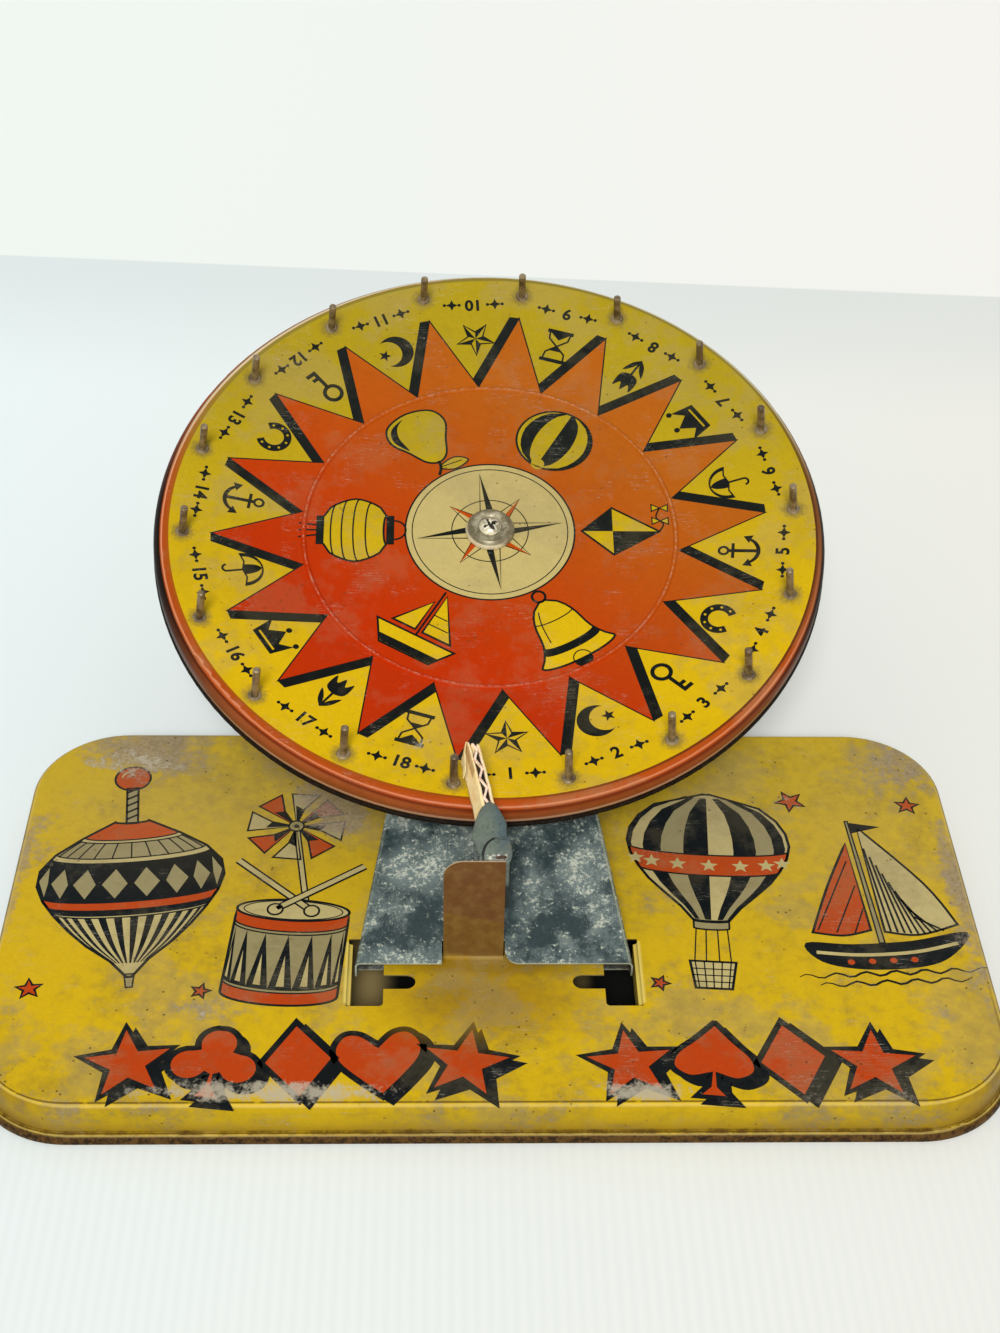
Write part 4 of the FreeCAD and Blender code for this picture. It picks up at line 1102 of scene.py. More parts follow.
def balloon(pen):
    bag = Turned([(-16, 5), (-10, 9), (0, 17.5), (11, 23), (20, 23.5), (29, 19), (35, 11), (37.5, 1)], 0.14)
    pen.shape("cream", bag.patch(-16, 37.5), 0, 0.9)
    gores = [(-90, -72, "black"), (-54, -36, "black"), (-18, 0, "black"), (18, 36, "black"),
             (54, 72, "black"), (-36, -18, "grey"), (36, 54, "grey")]
    for left, right, ink in gores:
        pen.fill(ink, bag.patch(-15, 36.5, left, right))
    pen.fill("orange", bag.patch(5, 14), 2)
    for high in (5, 14):
        pen.line(bag.hoop(high), 0.6, layer=4)
    for angle in range(-72, 90, 24):
        pen.fill("cream", star(5, 2.7, 1.15, *bag.at(9.5, angle)), 3)
    pen.shape("grey", bag.patch(-19, -15.5), 1, 0.6)
    for x in (-4.4, -1.6, 1.6, 4.4):
        pen.line([(x, -19.5), (x * 1.15, -32)], 0.4)
    basket = [(-5, -42), (5, -42), (6.4, -32), (-6.4, -32)]
    pen.shape("cream", basket, 1, 0.8)
    for high in (-39.6, -37.2, -34.8):
        pen.line([(-5.6, high), (5.6, high)], 0.4)
    for x in range(-4, 5, 2):
        pen.line([(x, -42), (x * 1.25, -32)], 0.4)


def sailboat(pen):
    hull = smooth([(-25, -14), (-21, -22), (-8, -26), (10, -26), (21, -22), (29, -12), (10, -15),
                   (-10, -15.5)])
    pen.shape("black", hull, 0, 0.8)
    pen.line(smooth([(-22.5, -18), (-8, -20), (10, -19.6), (25, -16.4)], False), 1.3, "cream", 2)
    for x in range(-12, 16, 7):
        pen.fill("orange", circle(x, -23, 1.2, 14), 2)
    pen.shape("grey", [(-0.9, -15), (0.9, -15), (0.5, 44), (-0.5, 44)], 0, 0.5)
    main = smooth([(2, -10), (13, -12), (27, -8)], False) + smooth([(27, -8), (20, 12), (3, 41)], False)
    pen.shape("cream", main, 1, 0.8)
    for index in range(9):
        share = index / 9
        foot = (4 + 20 * share, -10 - 1.5 * math.sin(share * math.pi))
        head = (foot[0] * 0.45 + (2.6 + 4 * share) * 0.55, 30 - 38 * share)
        pen.line([foot, head], 0.7)
    jib = smooth([(-2.5, -9), (-12, -11), (-22, -9)], False)
    jib = jib + smooth([(-22, -9), (-13, 12), (-2.5, 33)], False)
    pen.shape("orange", jib, 1, 0.8)
    for seam in ([(-20, -8), (-4, 24)], [(-14, -9.5), (-3.5, 12)], [(-8, -10), (-3, 1)]):
        pen.line(seam, 0.5)
    pen.shape("black", [(0.6, 43), (11, 40.5), (0.6, 38)], 1, 0.4)
    for row, (left, right) in enumerate(((-30, 32), (-24, 26))):
        wave = [(left + step * 2, -28.5 - row * 4 + 1.0 * math.sin(step * 1.3))
                for step in range(int((right - left) / 2) + 1)]
        pen.line(wave, 0.8, taper=0.7)


def bold_shape(pen, outline):
    """A big orange shape with a black edge and a black shadow, as on a shop sign."""
    shadow = [(x + 2.6, y - 2.2) for x, y in outline]
    pen.fill("black", shadow, 0)
    pen.line(shadow, 1.6, layer=1, closed=True)
    pen.line(outline, 1.9, layer=3, closed=True)
    pen.fill("orange", outline, 2)


def heart_outline(size):
    half = [(0, -1.0), (0.45, -0.55), (0.92, 0.02), (1.0, 0.48), (0.74, 0.86), (0.36, 0.84), (0, 0.5)]
    right = smooth(half, False)
    return [(x * size, y * size) for x, y in right[:-1] + [(-x, y) for x, y in reversed(right)][:-1]]


def club_outline(size):
    """Three round leaves on a flared stalk."""
    right = (arc(0.52, -0.12, 0.44, -150, 90, 14) + arc(0, 0.5, 0.44, -20, 90, 8))
    stalk = [(0.36, -1.0), (0.12, -0.62), (0.1, -0.36)]
    half = stalk + right
    return [(x * size, y * size) for x, y in mirrored(half[:-1])]


def spade_outline(size):
    half = smooth([(0.1, -0.42), (0.5, -0.52), (0.86, -0.28), (0.8, 0.12), (0.4, 0.55), (0.02, 1.0)], False)
    stalk = [(0.36, -1.0), (0.12, -0.7)]
    return [(x * size, y * size) for x, y in mirrored(stalk + half)]


def sign_row(sheet):
    """Plain shapes along the tray's front edge, a little out of line."""
    diamond = [(0, -14.5), (10.5, 0), (0, 14.5), (-10.5, 0)]
    shapes = {
        "star": star(5, 14.2, 6.2, 0, -1),
        "diamond": diamond,
        "heart": heart_outline(12.8),
        "club": club_outline(13.6),
        "spade": spade_outline(13.8),
    }
    row = [(-104, -63.5, 8, "star"), (-79.5, -64, -7, "club"), (-56, -63.5, 5, "diamond"),
           (-33, -64, 6, "heart"), (-8.5, -63.5, -9, "star"),
           (38, -64, 6, "star"), (62, -63.5, -6, "spade"), (84.5, -63.5, 7, "diamond"),
           (107.5, -64, -5, "star")]
    for x, y, turn, name in row:
        bold_shape(Pen(sheet, x, y, turn), shapes[name])


def small_bell(pen):
    bell = Turned([(-8.5, 10.5), (-7, 9), (-3, 6.8), (3, 5.6), (7, 3.6), (9, 0.8)], 0.2)
    pen.shape("black", circle(0, -10.6, 2.4, 16), 0, 0.4)
    pen.shape("yellow", bell.patch(-8.5, 9))
    pen.fill("black", bell.patch(-5.5, -3.5), 2)
    pen.line(bell.hoop(3.5), 0.4)
    pen.line(bell.rib(-45, -2, 7), 0.4)
    pen.line(circle(0, 10.6, 1.7, 14), 0.8, closed=True)


def small_ball(pen):
    ball = Turned([(10 * math.sin(math.radians(a)), 10 * math.cos(math.radians(a)))
                   for a in range(-90, 91, 15)], 0.0, soft=False)
    pen.shape("yellow", circle(0, 0, 10, 36))
    for left in (-90, -30, 30):
        pen.fill("black", ball.patch(-9.7, 9.7, left, left + 30), 2)
    pen.fill("yellow", circle(0, 9.2, 1.8, 14), 3)


def small_lantern(pen):
    paper = Turned([(-8, 4.5), (-6, 7.6), (0, 10), (6, 7.6), (8, 4.5)], 0.16)
    pen.shape("yellow", paper.patch(-8, 8))
    for high in (-5, -2, 1, 4):
        pen.line(paper.hoop(high), 0.5)
    for low in (-10, 8):
        pen.fill("black", upright(4.6, low, low + 2), 2)
    pen.line(arc(0, 10, 3, 0, 180, 10), 0.6)
    for x in (-1.6, 0, 1.6):
        pen.line([(x, -10), (x * 1.4, -14.5)], 0.6)


def small_kite(pen):
    pen.shape("yellow", [(0, -9), (7.5, 3), (0, 11), (-7.5, 3)])
    pen.fill("black", [(0, 3), (7.5, 3), (0, 11)], 2)
    pen.fill("black", [(0, 3), (-7.5, 3), (0, -9)], 2)
    pen.line(smooth([(0, -9), (2.4, -10.2), (4.6, -8.4), (7.6, -9.4)], False), 0.5)
    for x, y in ((3.4, -9.4), (7.6, -9.4)):
        for way in (-1, 1):
            pen.shape("yellow", [(x, y), (x + 1.1, y + 2.1 * way), (x - 1.1, y + 2.1 * way)], 1, 0.4)


def small_pear(pen):
    fruit = smooth([(0, -10), (6.5, -8), (8.2, -3), (5.4, 2.4), (3.0, 7), (0, 8.6), (-3.0, 7),
                    (-5.4, 2.4), (-8.2, -3), (-6.5, -8)])
    pen.shape("yellow", fruit)
    pen.fill("black", smooth([(1.5, -8.8), (5.8, -7), (7.2, -3), (5, 1.5), (5.4, -3.5), (4, -7)]), 2)
    pen.line(smooth([(0, 8.2), (0.6, 10.4), (2.2, 12.4)], False), 1.0)
    pen.shape("yellow", smooth([(0.8, 10.2), (-2.5, 12.6), (-7, 11.6), (-4, 9)]), 1, 0.5)
    pen.line([(0.6, 10.2), (-5.4, 10.9)], 0.35)


def small_boat(pen):
    pen.shape("yellow", [(-11, -3), (11, -3), (7, -9), (-7, -9)])
    pen.fill("black", [(-8.4, -6.6), (8.4, -6.6), (6.8, -8.7), (-6.8, -8.7)], 2)
    pen.line([(0, -3), (0, 12)], 0.7)
    pen.shape("yellow", [(1, -1.5), (9, -1.5), (1, 11)])
    pen.shape("yellow", [(-1, -1.5), (-7.5, -1.5), (-1, 8)])
    for low in (1.5, 4.5):
        pen.line([(1.2, low), (8.6 - (low + 1.5) * 0.64, low)], 0.4)


def star_icon(pen):
    tips = star(5, 6.8, 2.7)
    pen.line(tips, 0.5, closed=True)
    for index in range(0, 10, 2):
        pen.fill("black", [tips[index], tips[index + 1], (0, 0)])


def moon_icon(pen):
    outer = arc(0, 0, 6.2, 50, 310, 24)
    inner = arc(2.9, 0, 4.95, 285, 75, 20)
    pen.fill("black", outer + inner)
    pen.fill("black", star(5, 2.3, 0.95, 4.2, 0.4))


def key_icon(pen):
    pen.line(circle(0, 4, 2.9, 20), 1.3, closed=True)
    pen.line([(0, 1.2), (0, -6.6)], 1.3)
    pen.fill("black", [(0, -6.6), (3.3, -6.6), (3.3, -5.2), (0, -5.2)])
    pen.fill("black", [(0, -4.2), (2.5, -4.2), (2.5, -2.9), (0, -2.9)])


def horseshoe_icon(pen):
    pen.line(arc(0, 0.6, 4.6, -50, 230, 24), 2.5)
    for angle in range(-30, 211, 40):
        turned = math.radians(angle)
        nail = circle(4.6 * math.cos(turned), 0.6 + 4.6 * math.sin(turned), 0.45, 8)
        pen.fill("yellow", nail, 4)


def anchor_icon(pen):
    pen.line(circle(0, 5.2, 1.5, 14), 0.8, closed=True)
    pen.line([(0, 3.6), (0, -6)], 1.2)
    pen.line([(-3, 2.2), (3, 2.2)], 1.0)
    pen.line(arc(0, -0.8, 5.2, 200, 340, 16), 1.3, taper=0.4)
    for side in (-1, 1):
        pen.fill("black", [(5.9 * side, -1.0), (6.3 * side, -4.2), (3.2 * side, -2.8)])


def umbrella_icon(pen):
    dome = Turned([(0, 6.6), (2.5, 6.0), (4.8, 4.0), (6.2, 0.4)], 0.0)
    pen.line(arc(0, 0, 6.4, 0, 180, 20) + [(-3.2, 0.9), (0, 0), (3.2, 0.9)], 0.5, closed=True)
    for left in (-90, -18, 54):
        pen.fill("black", dome.patch(0.2, 6.1, left, left + 36))
    pen.line([(0, 6), (0, -5)], 0.7)
    pen.line(arc(-1.3, -5, 1.3, 180, 360, 10), 0.7)


def crown_icon(pen):
    pen.fill("black", [(-5.4, -4.4), (5.4, -4.4), (6.6, 3.4), (3.2, 0), (0, 4.6), (-3.2, 0), (-6.6, 3.4)],
             holes=[upright(4.4, -2.9, -2.2)])
    for x, y in ((-6.6, 4.2), (0, 5.6), (6.6, 4.2)):
        pen.fill("black", circle(x, y, 1.0, 10))


def tulip_icon(pen):
    pen.fill("black", smooth([(0, -0.4), (3.4, 1.2), (3.3, 6.4), (1.5, 4.0), (0, 6.8), (-1.5, 4.0),
                              (-3.3, 6.4), (-3.4, 1.2)], steps=4))
    pen.line([(0, 0), (0, -6.8)], 0.8)
    for side in (-1, 1):
        pen.fill("black", smooth([(0, -6.6), (2.4 * side, -4.6), (3.8 * side, -0.6), (1.2 * side, -3.2)]))


def hourglass_icon(pen):
    for side in (-1, 1):
        pen.fill("black", upright(4.6, 6.6 * side, 5.2 * side))
        pen.line([(-3.6, 5.2 * side), (-3.3, 2.8 * side), (0, 0), (3.3, 2.8 * side), (3.6, 5.2 * side)], 0.6)
    pen.fill("black", [(-2.0, 2.0), (2.0, 2.0), (0, 0)])
    pen.fill("black", [(-3.2, -5.2), (3.2, -5.2), (0, -2.6)])


def compass_rose(sheet):
    """Eight half-shaded points on the cream disc."""
    long_tip, short_tip, waist = 24.0, 16.5, 6.2
    for index in range(8):
        tip = short_tip if index % 2 else long_tip
        pen = Pen(sheet, 0, 0, 45 * index + 8)
        side = math.radians(22.5)
        out = (waist * math.sin(side), waist * math.cos(side))
        pen.fill("black" if index % 2 == 0 else "orange", [(0, 0), out, (0, tip)])
        pen.line([(0, 0), (-out[0], out[1]), (0, tip), out], 0.4, closed=True)
    pen = Pen(sheet, 0, 0)
    for radius, steps in ((12.6, 48), (25.6, 64)):
        pen.line(circle(0, 0, radius, steps), 0.35, closed=True, layer=0)


def polar(radius, angle):
    return radius * math.cos(math.radians(angle)), radius * math.sin(math.radians(angle))


def print_wheel():
    """Numbers and small pictures between the pegs, six toys round the middle and a compass rose."""
    across = Vector((1, 0, 0))
    along = Vector((0, math.cos(wheel_tilt), math.sin(wheel_tilt)))

    def place(x, y, high):
        rise = max(math.hypot(x, y) - FACE_FLAT, 0) * FACE_SLOPE
        return hub + across * x + along * y + wheel_axis * (rise + high)

    sheet = Print(place)
    icons = [star_icon, moon_icon, key_icon, horseshoe_icon, anchor_icon, umbrella_icon,
             crown_icon, tulip_icon, hourglass_icon]
    for index in range(PEG_COUNT):
        angle = FIRST_PEG + PEG_STEP * (index + 0.5)
        numbered = Pen(sheet, *polar(NUMBER_CIRCLE, angle), angle - 270)
        numbered.number(str(index + 1), 6.0, 0.2)
        for side in (-1, 1):
            numbered.fill("black", star(4, 2.2, 0.95, 7.6 * side))
            for x in (5.0, 10.2):
                numbered.fill("black", circle(x * side, 0, 0.6, 10))
        icons[index % len(icons)](Pen(sheet, *polar(ICON_CIRCLE, angle), angle - 270))
    toys = [small_bell, small_kite, small_ball, small_pear, small_lantern, small_boat]
    for index, toy in enumerate(toys):
        angle = FIRST_TOY + 360 / len(toys) * index
        toy(Pen(sheet, *polar(TOY_CIRCLE, angle), angle - 270, TOY_SCALE))
    compass_rose(sheet)
    sheet.finish("wheel", "wheel", WheelCoat)


def print_tray():
    """Toys at the left and right of the stand, and a row of shapes along the front."""
    def place(x, y, high):
        return Vector((x, y + tray_middle.y, TRAY_TOP + high))

    sheet = Print(place)
    toys = [(humming_top, -112, 12, 6, 1.06), (pinwheel, -62, 34, 8, 1.0), (drum, -62, -21, -4, 0.86),
            (balloon, 68, 9, -4, 1.08), (sailboat, 117, -4, 3, 0.92)]
    for toy, x, y, angle, scale in toys:
        toy(Pen(sheet, x, y, angle, scale))
    for x, y, size in ((-136, -36, 4), (-86, -37, 3), (98, 46, 5), (136, 44, 4), (49, -34, 3)):
        Pen(sheet, x, y, x).shape("orange", star(5, size, size * 0.42))
    sign_row(sheet)
    sheet.finish("tray", "base", TrayCoat)


def on_pointer(x, y, z):
    """A point of the pointer's own frame, y along the card and z above its slanting lower edge."""
    turned = Matrix.Rotation(math.radians(POINTER_YAW), 3, "Z") @ Vector((x, y, 0))
    return pivot + turned + Vector((0, 0, z + y * math.tan(wheel_tilt)))


def wander(x, y, grain, reach, seed):
    """A smooth random number from -reach to reach, the same on each run."""
    return noise.noise(Vector((x / grain, y / grain, seed))) * reach


def add_piece(name, mesh, look):
    """A smooth piece from a drawn mesh, with its faces turned outwards."""
    bmesh.ops.recalc_face_normals(mesh, faces=mesh.faces)
    made = bpy.data.meshes.new(name)
    mesh.to_mesh(made)
    mesh.free()
    made.materials.append(look)
    for face in made.polygons:
        face.use_smooth = True
    thing = add_object(name, made)
    return thing


def thick_sheet(rows, thick):
    """A closed sheet of some thickness about a grid of points."""
    high, wide = len(rows), len(rows[0])
    mesh = bmesh.new()
    sides = []
    for way in (0.5, -0.5):
        side = []
        for i in range(high):
            line = []
            for j in range(wide):
                along = rows[min(i + 1, high - 1)][j] - rows[max(i - 1, 0)][j]
                across = rows[i][min(j + 1, wide - 1)] - rows[i][max(j - 1, 0)]
                normal = along.cross(across).normalized()
                line.append(mesh.verts.new((rows[i][j] + normal * (thick * way)) * MM))
            side.append(line)
        sides.append(side)
    front, back = sides
    for i in range(high - 1):
        for j in range(wide - 1):
            mesh.faces.new((front[i][j], front[i + 1][j], front[i + 1][j + 1], front[i][j + 1]))
            mesh.faces.new((back[i][j], back[i][j + 1], back[i + 1][j + 1], back[i + 1][j]))
    rim = ([(0, j) for j in range(wide)] + [(i, wide - 1) for i in range(1, high)]
           + [(high - 1, j) for j in range(wide - 2, -1, -1)] + [(i, 0) for i in range(high - 2, 0, -1)])
    for (i, j), (k, m) in zip(rim, rim[1:] + rim[:1]):
        mesh.faces.new((front[i][j], front[k][m], back[k][m], back[i][j]))
    return mesh


def card_centre(y, z):
    """Where the card's middle lies sideways: it veers to the left and leans over to the right."""
    past = y - CARD_VEER_START
    return CARD_SHIFT - CARD_VEER * past - CARD_BEND * past * past - CARD_LEAN * (1 - z / CARD_HEIGHT)


def card_rows(side_at, start, end, columns, low, levels=10):
    """Grid points of an upright sheet along the card; side_at gives its sideways place in the card."""
    rows = []
    for level in range(levels + 1):
        row = []
        for column in range(columns + 1):
            share = column / columns
            z = low + (CARD_HEIGHT - low) * level / levels
            if level == levels:
                z += wander(share * 40, start, 1.1, 0.14, 4.0)
            ragged = wander(z, end, 1.3, 0.6, 2.0) * share ** 8
            y = start + (end - start) * share + ragged
            row.append(on_pointer(card_centre(y, z) + side_at(y, z), y, z))
        rows.append(row)
    return rows


def make_card():
    """Corrugated card: two liners, a fluted sheet between, and a paper ply peeled off the left."""
    paper = card_paint()
    outer = CARD_THICKNESS / 2 - LINER / 2
    swing = CARD_THICKNESS / 2 - LINER - FLUTE_SHEET / 2

    def wave(y):
        turn = math.asin(FLUTE_SHARPNESS * math.cos(2 * math.pi * (y - CARD_START) / FLUTE_PITCH))
        return turn / math.asin(FLUTE_SHARPNESS)

    def left(y, z):
        return -outer + LINER_RIPPLE * wave(y)

    def right(y, z):
        return outer + LINER_RIPPLE * wave(y)

    def flute(y, z):
        return swing * wave(y)

    def peeled(y, z):
        share = min(max((y - PEEL_START) / (CARD_END - PEEL_START), 0), 1)
        bulge = PEEL_REACH * (1 - share) + PEEL_BULGE * (1 - share ** 6)
        return -outer - LINER / 2 - PEEL_GAP - bulge - wander(y, z, 2.4, 0.18, 8.0) * (1 - share)

    # Each sheet's sideways place, start, end, lower edge, thickness and steps along the card.
    sheets = {
        "card_left_liner": (left, CARD_START, CARD_END, 0.0, LINER, 48),
        "card_right_liner": (right, CARD_START, CARD_END - 0.8, 0.0, LINER, 48),
        "card_fluted_sheet": (flute, CARD_START, CARD_END - 0.5, 0.0, FLUTE_SHEET, 120),
        "card_peeled_ply": (peeled, PEEL_START, CARD_END + 0.3, PEEL_LOW, PEEL_PLY, 48),
    }
    for name, (side_at, start, end, low, thick, columns) in sheets.items():
        mesh = thick_sheet(card_rows(side_at, start, end, columns, low), thick)
        piece = add_piece(name, mesh, paper)
        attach(piece, "pointer")
        if name == "card_left_liner":
            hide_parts("pointer_card")


# The wrap of tape seen from above, in the pointer's frame, right round from its near end.
WRAP_PLAN = [(0.6, -4.9), (3.0, -4.7), (4.4, -3.8), (4.6, -1.6), (4.9, 1.2), (5.3, 4.4), (5.4, 7.0),
             (4.6, 9.4), (3.7, 11.4), (2.9, 13.0), (1.3, 13.8), (-0.3, 12.9), (-1.6, 11.4), (-2.9, 9.6),
             (-4.1, 7.4), (-4.9, 4.8), (-5.0, 2.2), (-4.6, -0.6), (-3.8, -3.0), (-2.0, -4.6)]

# How far each height of the wrap reaches from its middle line, as a share of its plan.
WRAP_LEVELS = [(-0.5, 0.3), (-0.5, 0.35), (0.5, 0.5), (2.0, 0.62), (3.8, 0.73), (5.6, 0.84), (6.9, 0.94),
               (7.6, 1.0), (8.1, 0.9), (8.4, 0.65), (8.55, 0.3)]
WRAP_WIDEST = 7
WRAP_CREASE = 0.28
WRAP_NEAR = -4.9
WRAP_MIDDLE_ENDS = (-0.6, 8.8)


def wrap_middle(y):
    """The point of the wrap's middle line that a place on its outline shrinks towards."""
    low, high = WRAP_MIDDLE_ENDS
    along = min(max(y, low), high)
    return 0.45 + 0.07 * along, along


def make_tape_wrap():
    """Cloth tape wound round the card's near end, pinched and creased."""
    outline = smooth(WRAP_PLAN, steps=4)
    mesh = bmesh.new()
    rings = []
    for z, swell in WRAP_LEVELS:
        ring = []
        for x, y in outline:
            middle_x, middle_y = wrap_middle(y)
            crease = WRAP_CREASE * math.sin(y * 0.9 + z * 0.8 + x * 0.3) * math.exp(-((y - 2) / 6) ** 2)
            dent = wander(x + z, y + z * 0.5, 2.8, 0.3, 5.0) + crease * 0.8
            reach = swell + dent / 6 * (0.4 if z > 8.2 else 1.0)
            lift = dent * 0.45 if z > 7 else 0.0
            ring.append(mesh.verts.new(on_pointer(
                middle_x + (x - middle_x) * reach, middle_y + (y - middle_y) * reach, z + lift) * MM))
        rings.append(ring)
    count = len(outline)
    for low, high in zip(rings, rings[1:]):
        for step in range(count):
            after = (step + 1) % count
            mesh.faces.new((low[step], low[after], high[after], high[step]))
    mesh.faces.new(rings[0][::-1])
    mesh.faces.new(rings[-1])
    bmesh.ops.triangulate(mesh, faces=[face for face in mesh.faces if len(face.verts) > 4])
    piece = add_piece("tape_wrap", mesh, tape_paint("tape_cloth"))
    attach(piece, "pointer")
    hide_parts("pointer_tape")


def wrap_top(x, y):
    """The height of the wrap's top over a place in its plan."""
    middle_x, middle_y = wrap_middle(y)
    way = Vector((x - middle_x, y - middle_y))
    reach = 5.0 if abs(way.y) > abs(way.x) and way.y < 0 else 5.4
    share = min(way.length / reach, 1.0)
    upper = WRAP_LEVELS[WRAP_WIDEST:]
    for (low_z, low_share), (high_z, high_share) in zip(upper, upper[1:]):
        if share >= high_share:
            between = (share - high_share) / (low_share - high_share)
            return high_z + (low_z - high_z) * between
    return WRAP_LEVELS[-1][0]


def make_tape_tail():
    """The tape's end, stuck to the back of the tab and folded over onto the wrap."""
    anchor_low, anchor_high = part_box("tape_anchor")
    anchor_low, anchor_high = anchor_low / MM, anchor_high / MM
    stuck_y = (anchor_low.y + anchor_high.y) / 2
    thick = anchor_high.y - anchor_low.y
    upright = anchor_high.z - 0.6 - anchor_low.z
    right = TAIL_RIGHT - anchor_low.x
    rows = []
    levels, columns = 48, 22
    for level in range(levels + 1):
        row = []
        for column in range(columns + 1):
            across = column / columns
            x = anchor_low.x + right * across
            side = (across - 0.5) * TAIL_WIDTH + TAIL_SIDE
            from_fold = min(side - TAIL_FOLD[0], -2.0)
            lie = math.sqrt(max(TAIL_REACH ** 2 - from_fold ** 2, 1.0))
            lie += wander(across * 6, 0, 1.2, 0.15, 3.0)
            reach = (upright + lie) * level / levels
            stuck = Vector((x, stuck_y, anchor_low.z + min(reach, upright)))
            if reach > upright:
                past = reach - upright
                y = WRAP_NEAR + past
                curl = 0.12 * past * max(0.0, 1.0 - across * 1.8)
                over = on_pointer(side, y, wrap_top(side, max(y, WRAP_NEAR + 0.3)) + 0.3 + curl)
                turn = min(past / 1.6, 1.0)
                turn = turn * turn * (3 - 2 * turn)
                stuck = stuck.lerp(over, turn)
            row.append(stuck)
        rows.append(row)
    piece = add_piece("tape_tail", thick_sheet(rows, thick), tape_paint("tape_end"))
    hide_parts("tape_anchor")
    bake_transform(piece)


def pointer_place(paint):
    """The surface point in the pointer's own frame."""
    x, y, z = paint.parts(paint.local(pivot))
    yaw = math.radians(POINTER_YAW)
    side = x * math.cos(yaw) + y * math.sin(yaw)
    along = y * math.cos(yaw) - x * math.sin(yaw)
    return side, along, z - along * math.tan(wheel_tilt)


def card_paint():
    """Kraft card: bright cream paper with long fibres, pale cut edges, channels painted dark as shade, and a
    torn line under the peeled ply painted as torn kraft and its shadow.
    """
    paint = Paint("card_paper")
    spot = paint.local((0, 0, 0))
    side, along, high = pointer_place(paint)
    fibre = paint.noise(paint.stretch(spot, (1.2, 0.35, 1.2)), 0.5, 4, 0.6, 2.0)
    broad = paint.noise(spot, 5, 3, 0.6, 5.0)
    tone = paint.step(broad * 0.6 + fibre * 0.4, 0.42, 0.62)
    colour = paint.mix(tone, rgb(255, 234, 176), rgb(242, 206, 142))
    colour = paint.mix(paint.step(fibre, 0.62, 0.72) * 0.4, colour, rgb(150, 112, 68))
    middle = card_centre(along, high)
    inner = CARD_THICKNESS / 2 - LINER
    within = paint.step(abs(side - middle), inner + 0.25, inner + 0.1)
    # Painted shade inside the flutes, just below the top edge, except at the crushed tip.
    shaded_channel = within * paint.step(high, CARD_HEIGHT - 0.22, CARD_HEIGHT - 0.5)
    crushed = CARD_END - CRUSHED_END
    shaded_channel = shaded_channel * paint.step(along + fibre * 1.5, crushed + 1.2, crushed)
    colour = paint.mix(shaded_channel * 0.96, colour, rgb(52, 32, 26))
    cut = within * paint.step(high, CARD_HEIGHT - 0.3, CARD_HEIGHT - 0.1)
    frayed = paint.noise(spot, 1.1, 3, 0.6, 7.0)
    edge = paint.mix(paint.step(frayed, 0.42, 0.62), rgb(252, 224, 200), rgb(196, 150, 116))
    colour = paint.mix(cut, colour, edge)
    # Torn kraft with painted shadow under the peeled ply's foot.
    torn_and_shaded = paint.band(side - middle, -CARD_THICKNESS / 2 - 0.1, -CARD_THICKNESS / 2 + 0.1, 0.05)
    torn_and_shaded = torn_and_shaded * paint.step(along, PEEL_START - 0.5, PEEL_START + 0.1)
    torn_and_shaded = torn_and_shaded * paint.step(high, PEEL_LOW - 0.4, PEEL_LOW)
    colour = paint.mix(torn_and_shaded * 0.6, colour, rgb(146, 108, 66))
    return paint.finish(colour=colour, roughness=0.85 + fibre * 0.1, specular=0.2,
                        normal=paint.bump(fibre * 0.7 + broad * 0.3, 0.5, 0.08))


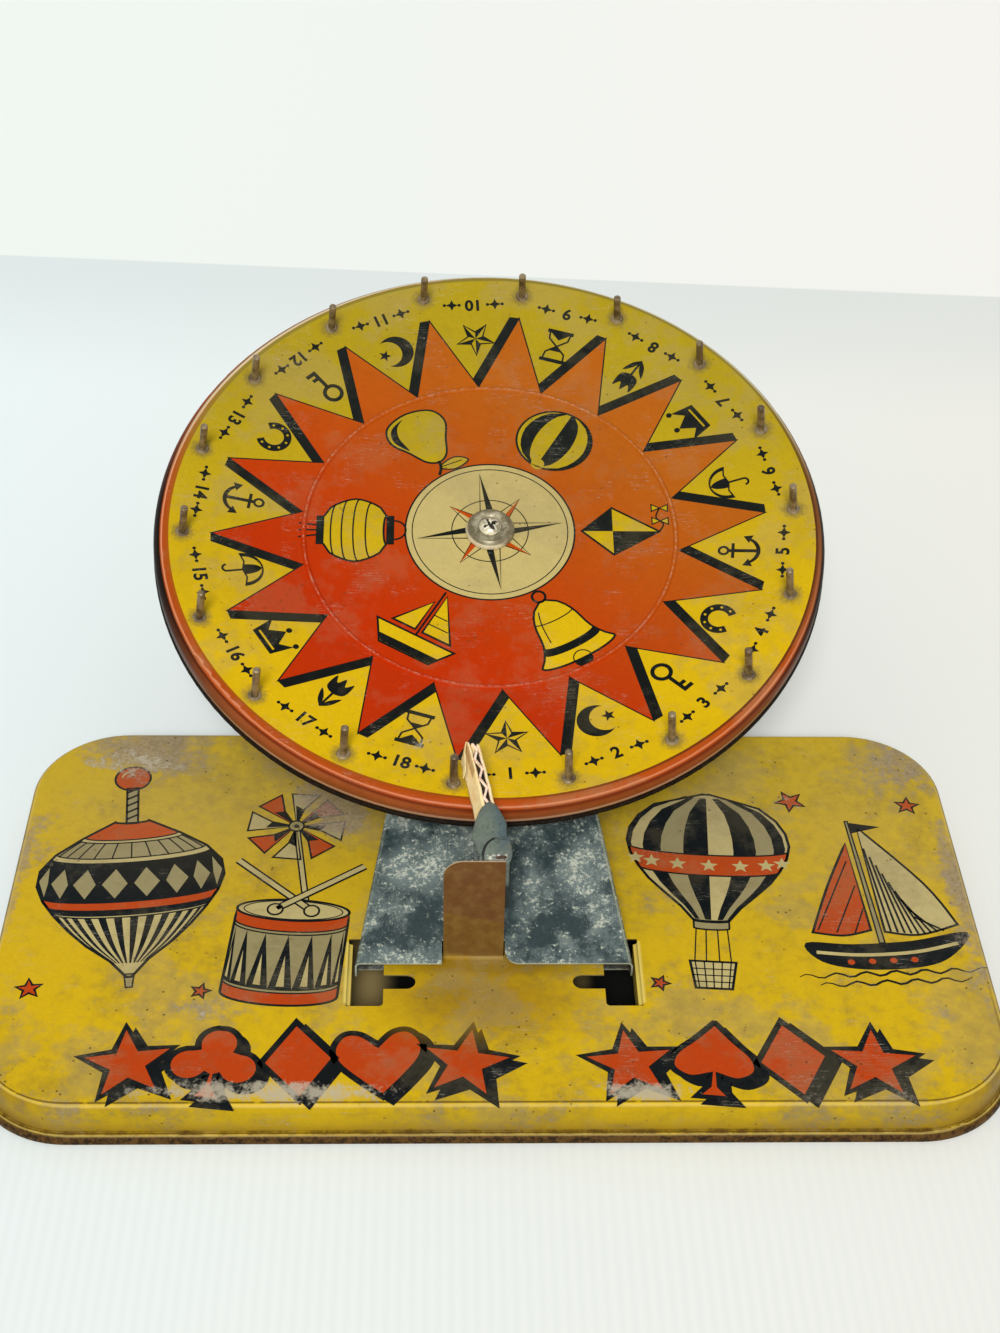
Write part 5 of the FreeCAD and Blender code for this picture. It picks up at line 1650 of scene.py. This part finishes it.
def tape_paint(name):
    """Grey cloth tape: a fine weave, rubbed pale and grimy in patches, with painted shade along the tail's
    folded edge, in a crease and behind the tab, frayed threads and a torn hole.
    """
    paint = Paint(name)
    spot = paint.local((0, 0, 0))
    side, along, high = pointer_place(paint)
    weave = paint.math("SINE", side * 9.0) * paint.math("SINE", (along + high) * 9.0)
    broad = paint.noise(spot, 5, 4, 0.6, 2.0)
    fine = paint.noise(spot, 0.8, 3, 0.65, 6.0)
    grey = paint.mix(paint.step(side + (broad - 0.5) * 6, -1.0, 4.0), rgb(104, 114, 100), rgb(78, 94, 98))
    colour = paint.mix(paint.step(broad, 0.4, 0.62), grey, rgb(92, 100, 92))
    grime = paint.step(broad * 0.5 + fine * 0.5, 0.48, 0.36)
    colour = paint.mix(grime * 0.5, colour, rgb(52, 58, 54))
    rubbed = paint.step(broad * 0.5 + fine * 0.5, 0.56, 0.66)
    colour = paint.mix(rubbed * 0.45, colour, rgb(150, 156, 142))
    colour = paint.shade(colour, 0.88 + fine * 0.2 + weave * 0.04)
    fold_x, fold_y = TAIL_FOLD
    from_fold = paint.root(side - fold_x, along - fold_y)
    upper = paint.step(high, 5.0, 6.5)
    # Painted shadow along the tail's folded edge and painted shade in a crease, on the upper faces.
    fold = paint.band(from_fold, TAIL_REACH - 0.85, TAIL_REACH - 0.05, 0.12) * paint.step(side, 1.5, 0.9)
    crease = paint.band(along + side * 0.12 + (broad - 0.5) * 0.6, 0.9, 1.1, 0.15)
    crease = crease * paint.step(side, 0.6, 1.2)
    colour = paint.mix(paint.largest(fold, crease * 0.75) * upper, colour, rgb(14, 16, 16))
    hole = paint.root((side - 2.2) / 1.9, (along + 4.5) / 0.45) + (fine - 0.5) * 0.5
    frayed = paint.band(side, -2.0, 3.9, 0.3) * paint.band(along, -5.0, -3.7, 0.25)
    frayed = frayed * paint.step(fine, 0.46, 0.54)
    colour = paint.mix(frayed * upper * 0.8, colour, rgb(206, 202, 180))
    # Painted shade: below the tab's top, the tape behind the tab is nearly black.
    hanging_in_shade = paint.step(high, 0.0, -2.0)
    colour = paint.mix(hanging_in_shade * 0.9, colour, rgb(24, 30, 30))
    colour = paint.mix(paint.step(hole, 1.05, 0.9) * upper, colour, rgb(62, 38, 22))
    return paint.finish(colour=colour, roughness=0.5 + fine * 0.15, specular=0.3,
                        normal=paint.bump(fine * 0.5 + weave * 0.15 + broad, 0.35, 0.1))


def dress_nodes():
    """Give every carried CAD node its material."""
    steel = metal_paint("dull_steel", rgb(150, 142, 118), rgb(104, 96, 78), rgb(66, 54, 38), 0.75, 0.42)
    pegs = metal_paint("tarnished_pegs", rgb(144, 126, 96), rgb(94, 77, 54), rgb(50, 37, 25), 0.4, 0.4)
    brass = metal_paint("dull_brass", rgb(168, 140, 74), rgb(126, 100, 52), rgb(84, 62, 34), 0.8, 0.4)
    fibre = matte_paint("red_fibre", rgb(112, 44, 30), rgb(84, 34, 24), 0.6, 0.75)
    looks = {
        "base_tray": tray_paint(),
        "wheel_disc": wheel_paint(),
        "stand_bracket": bare_tin_paint(),
        "cup_washer": hub_paint("nickel_cup", False),
        "spindle_screw": hub_paint("nickel_screw", True),
        "hub_bush": brass,
        "thrust_washer": fibre,
    }
    for name, node in frame["nodes"].items():
        look = looks.get(name, pegs if name.startswith("peg_") else steel)
        for slot in node.material_slots:
            slot.material = look


def make_camera():
    """The photograph's own viewpoint."""
    right = Vector((0.99958, -0.02062, 0.02012))
    down = Vector((0.00307, -0.61816, -0.78605))
    ahead = Vector((0.02864, 0.78578, -0.61784))
    turn = Matrix((right, -down, -ahead)).transposed()
    camera = bpy.data.cameras.new("camera")
    camera.lens = 55.36
    camera.sensor_width = 36
    thing = add_object("camera", camera)
    thing.matrix_world = Matrix.Translation(Vector((-15.9, -515.46, 460.1)) * MM) @ turn.to_4x4()
    bpy.context.scene.camera = thing


def make_light():
    """One soft light from the player's side and a pale sky all round."""
    sun = bpy.data.lights.new("front_light", "SUN")
    sun.energy = 2.6
    sun.angle = math.radians(20)
    add_object("front_light", sun).rotation_euler = (math.radians(46), math.radians(-6), 0)

    world = bpy.data.worlds.new("pale_sky")
    world.use_nodes = True
    nodes = world.node_tree.nodes
    links = world.node_tree.links
    light = nodes["Background"]
    light.inputs["Color"].default_value = (*rgb(250, 250, 250), 1)
    light.inputs["Strength"].default_value = 0.42
    seen = nodes.new("ShaderNodeBackground")
    seen.inputs["Color"].default_value = (*rgb(243, 245, 239), 1)
    rays = nodes.new("ShaderNodeLightPath")
    either = nodes.new("ShaderNodeMixShader")
    seen_by = rays.outputs["Is Camera Ray"]
    for kind in ("Is Glossy Ray", "Is Transmission Ray"):
        join = nodes.new("ShaderNodeMath")
        join.operation = "MAXIMUM"
        links.new(seen_by, join.inputs[0])
        links.new(rays.outputs[kind], join.inputs[1])
        seen_by = join.outputs[0]
    links.new(seen_by, either.inputs[0])
    links.new(light.outputs[0], either.inputs[1])
    links.new(seen.outputs[0], either.inputs[2])
    links.new(either.outputs[0], nodes["World Output"].inputs["Surface"])
    bpy.context.scene.world = world


def make_floor():
    """The pale floor, on which the tray stands."""
    half = 3000
    mesh = bpy.data.meshes.new("floor")
    corners = [(-half, -half), (half, -half), (half, half), (-half, half)]
    mesh.from_pydata([Vector((x, y, 0)) * MM for x, y in corners], [], [(0, 1, 2, 3)])
    mesh.materials.append(floor_paint(*BOARD_EDGE))
    add_object("floor", mesh)


dress_nodes()
print_wheel()
print_tray()
make_card()
make_tape_wrap()
make_tape_tail()
make_camera()
make_light()
make_floor()

bpy.context.scene.view_settings.view_transform = "Standard"
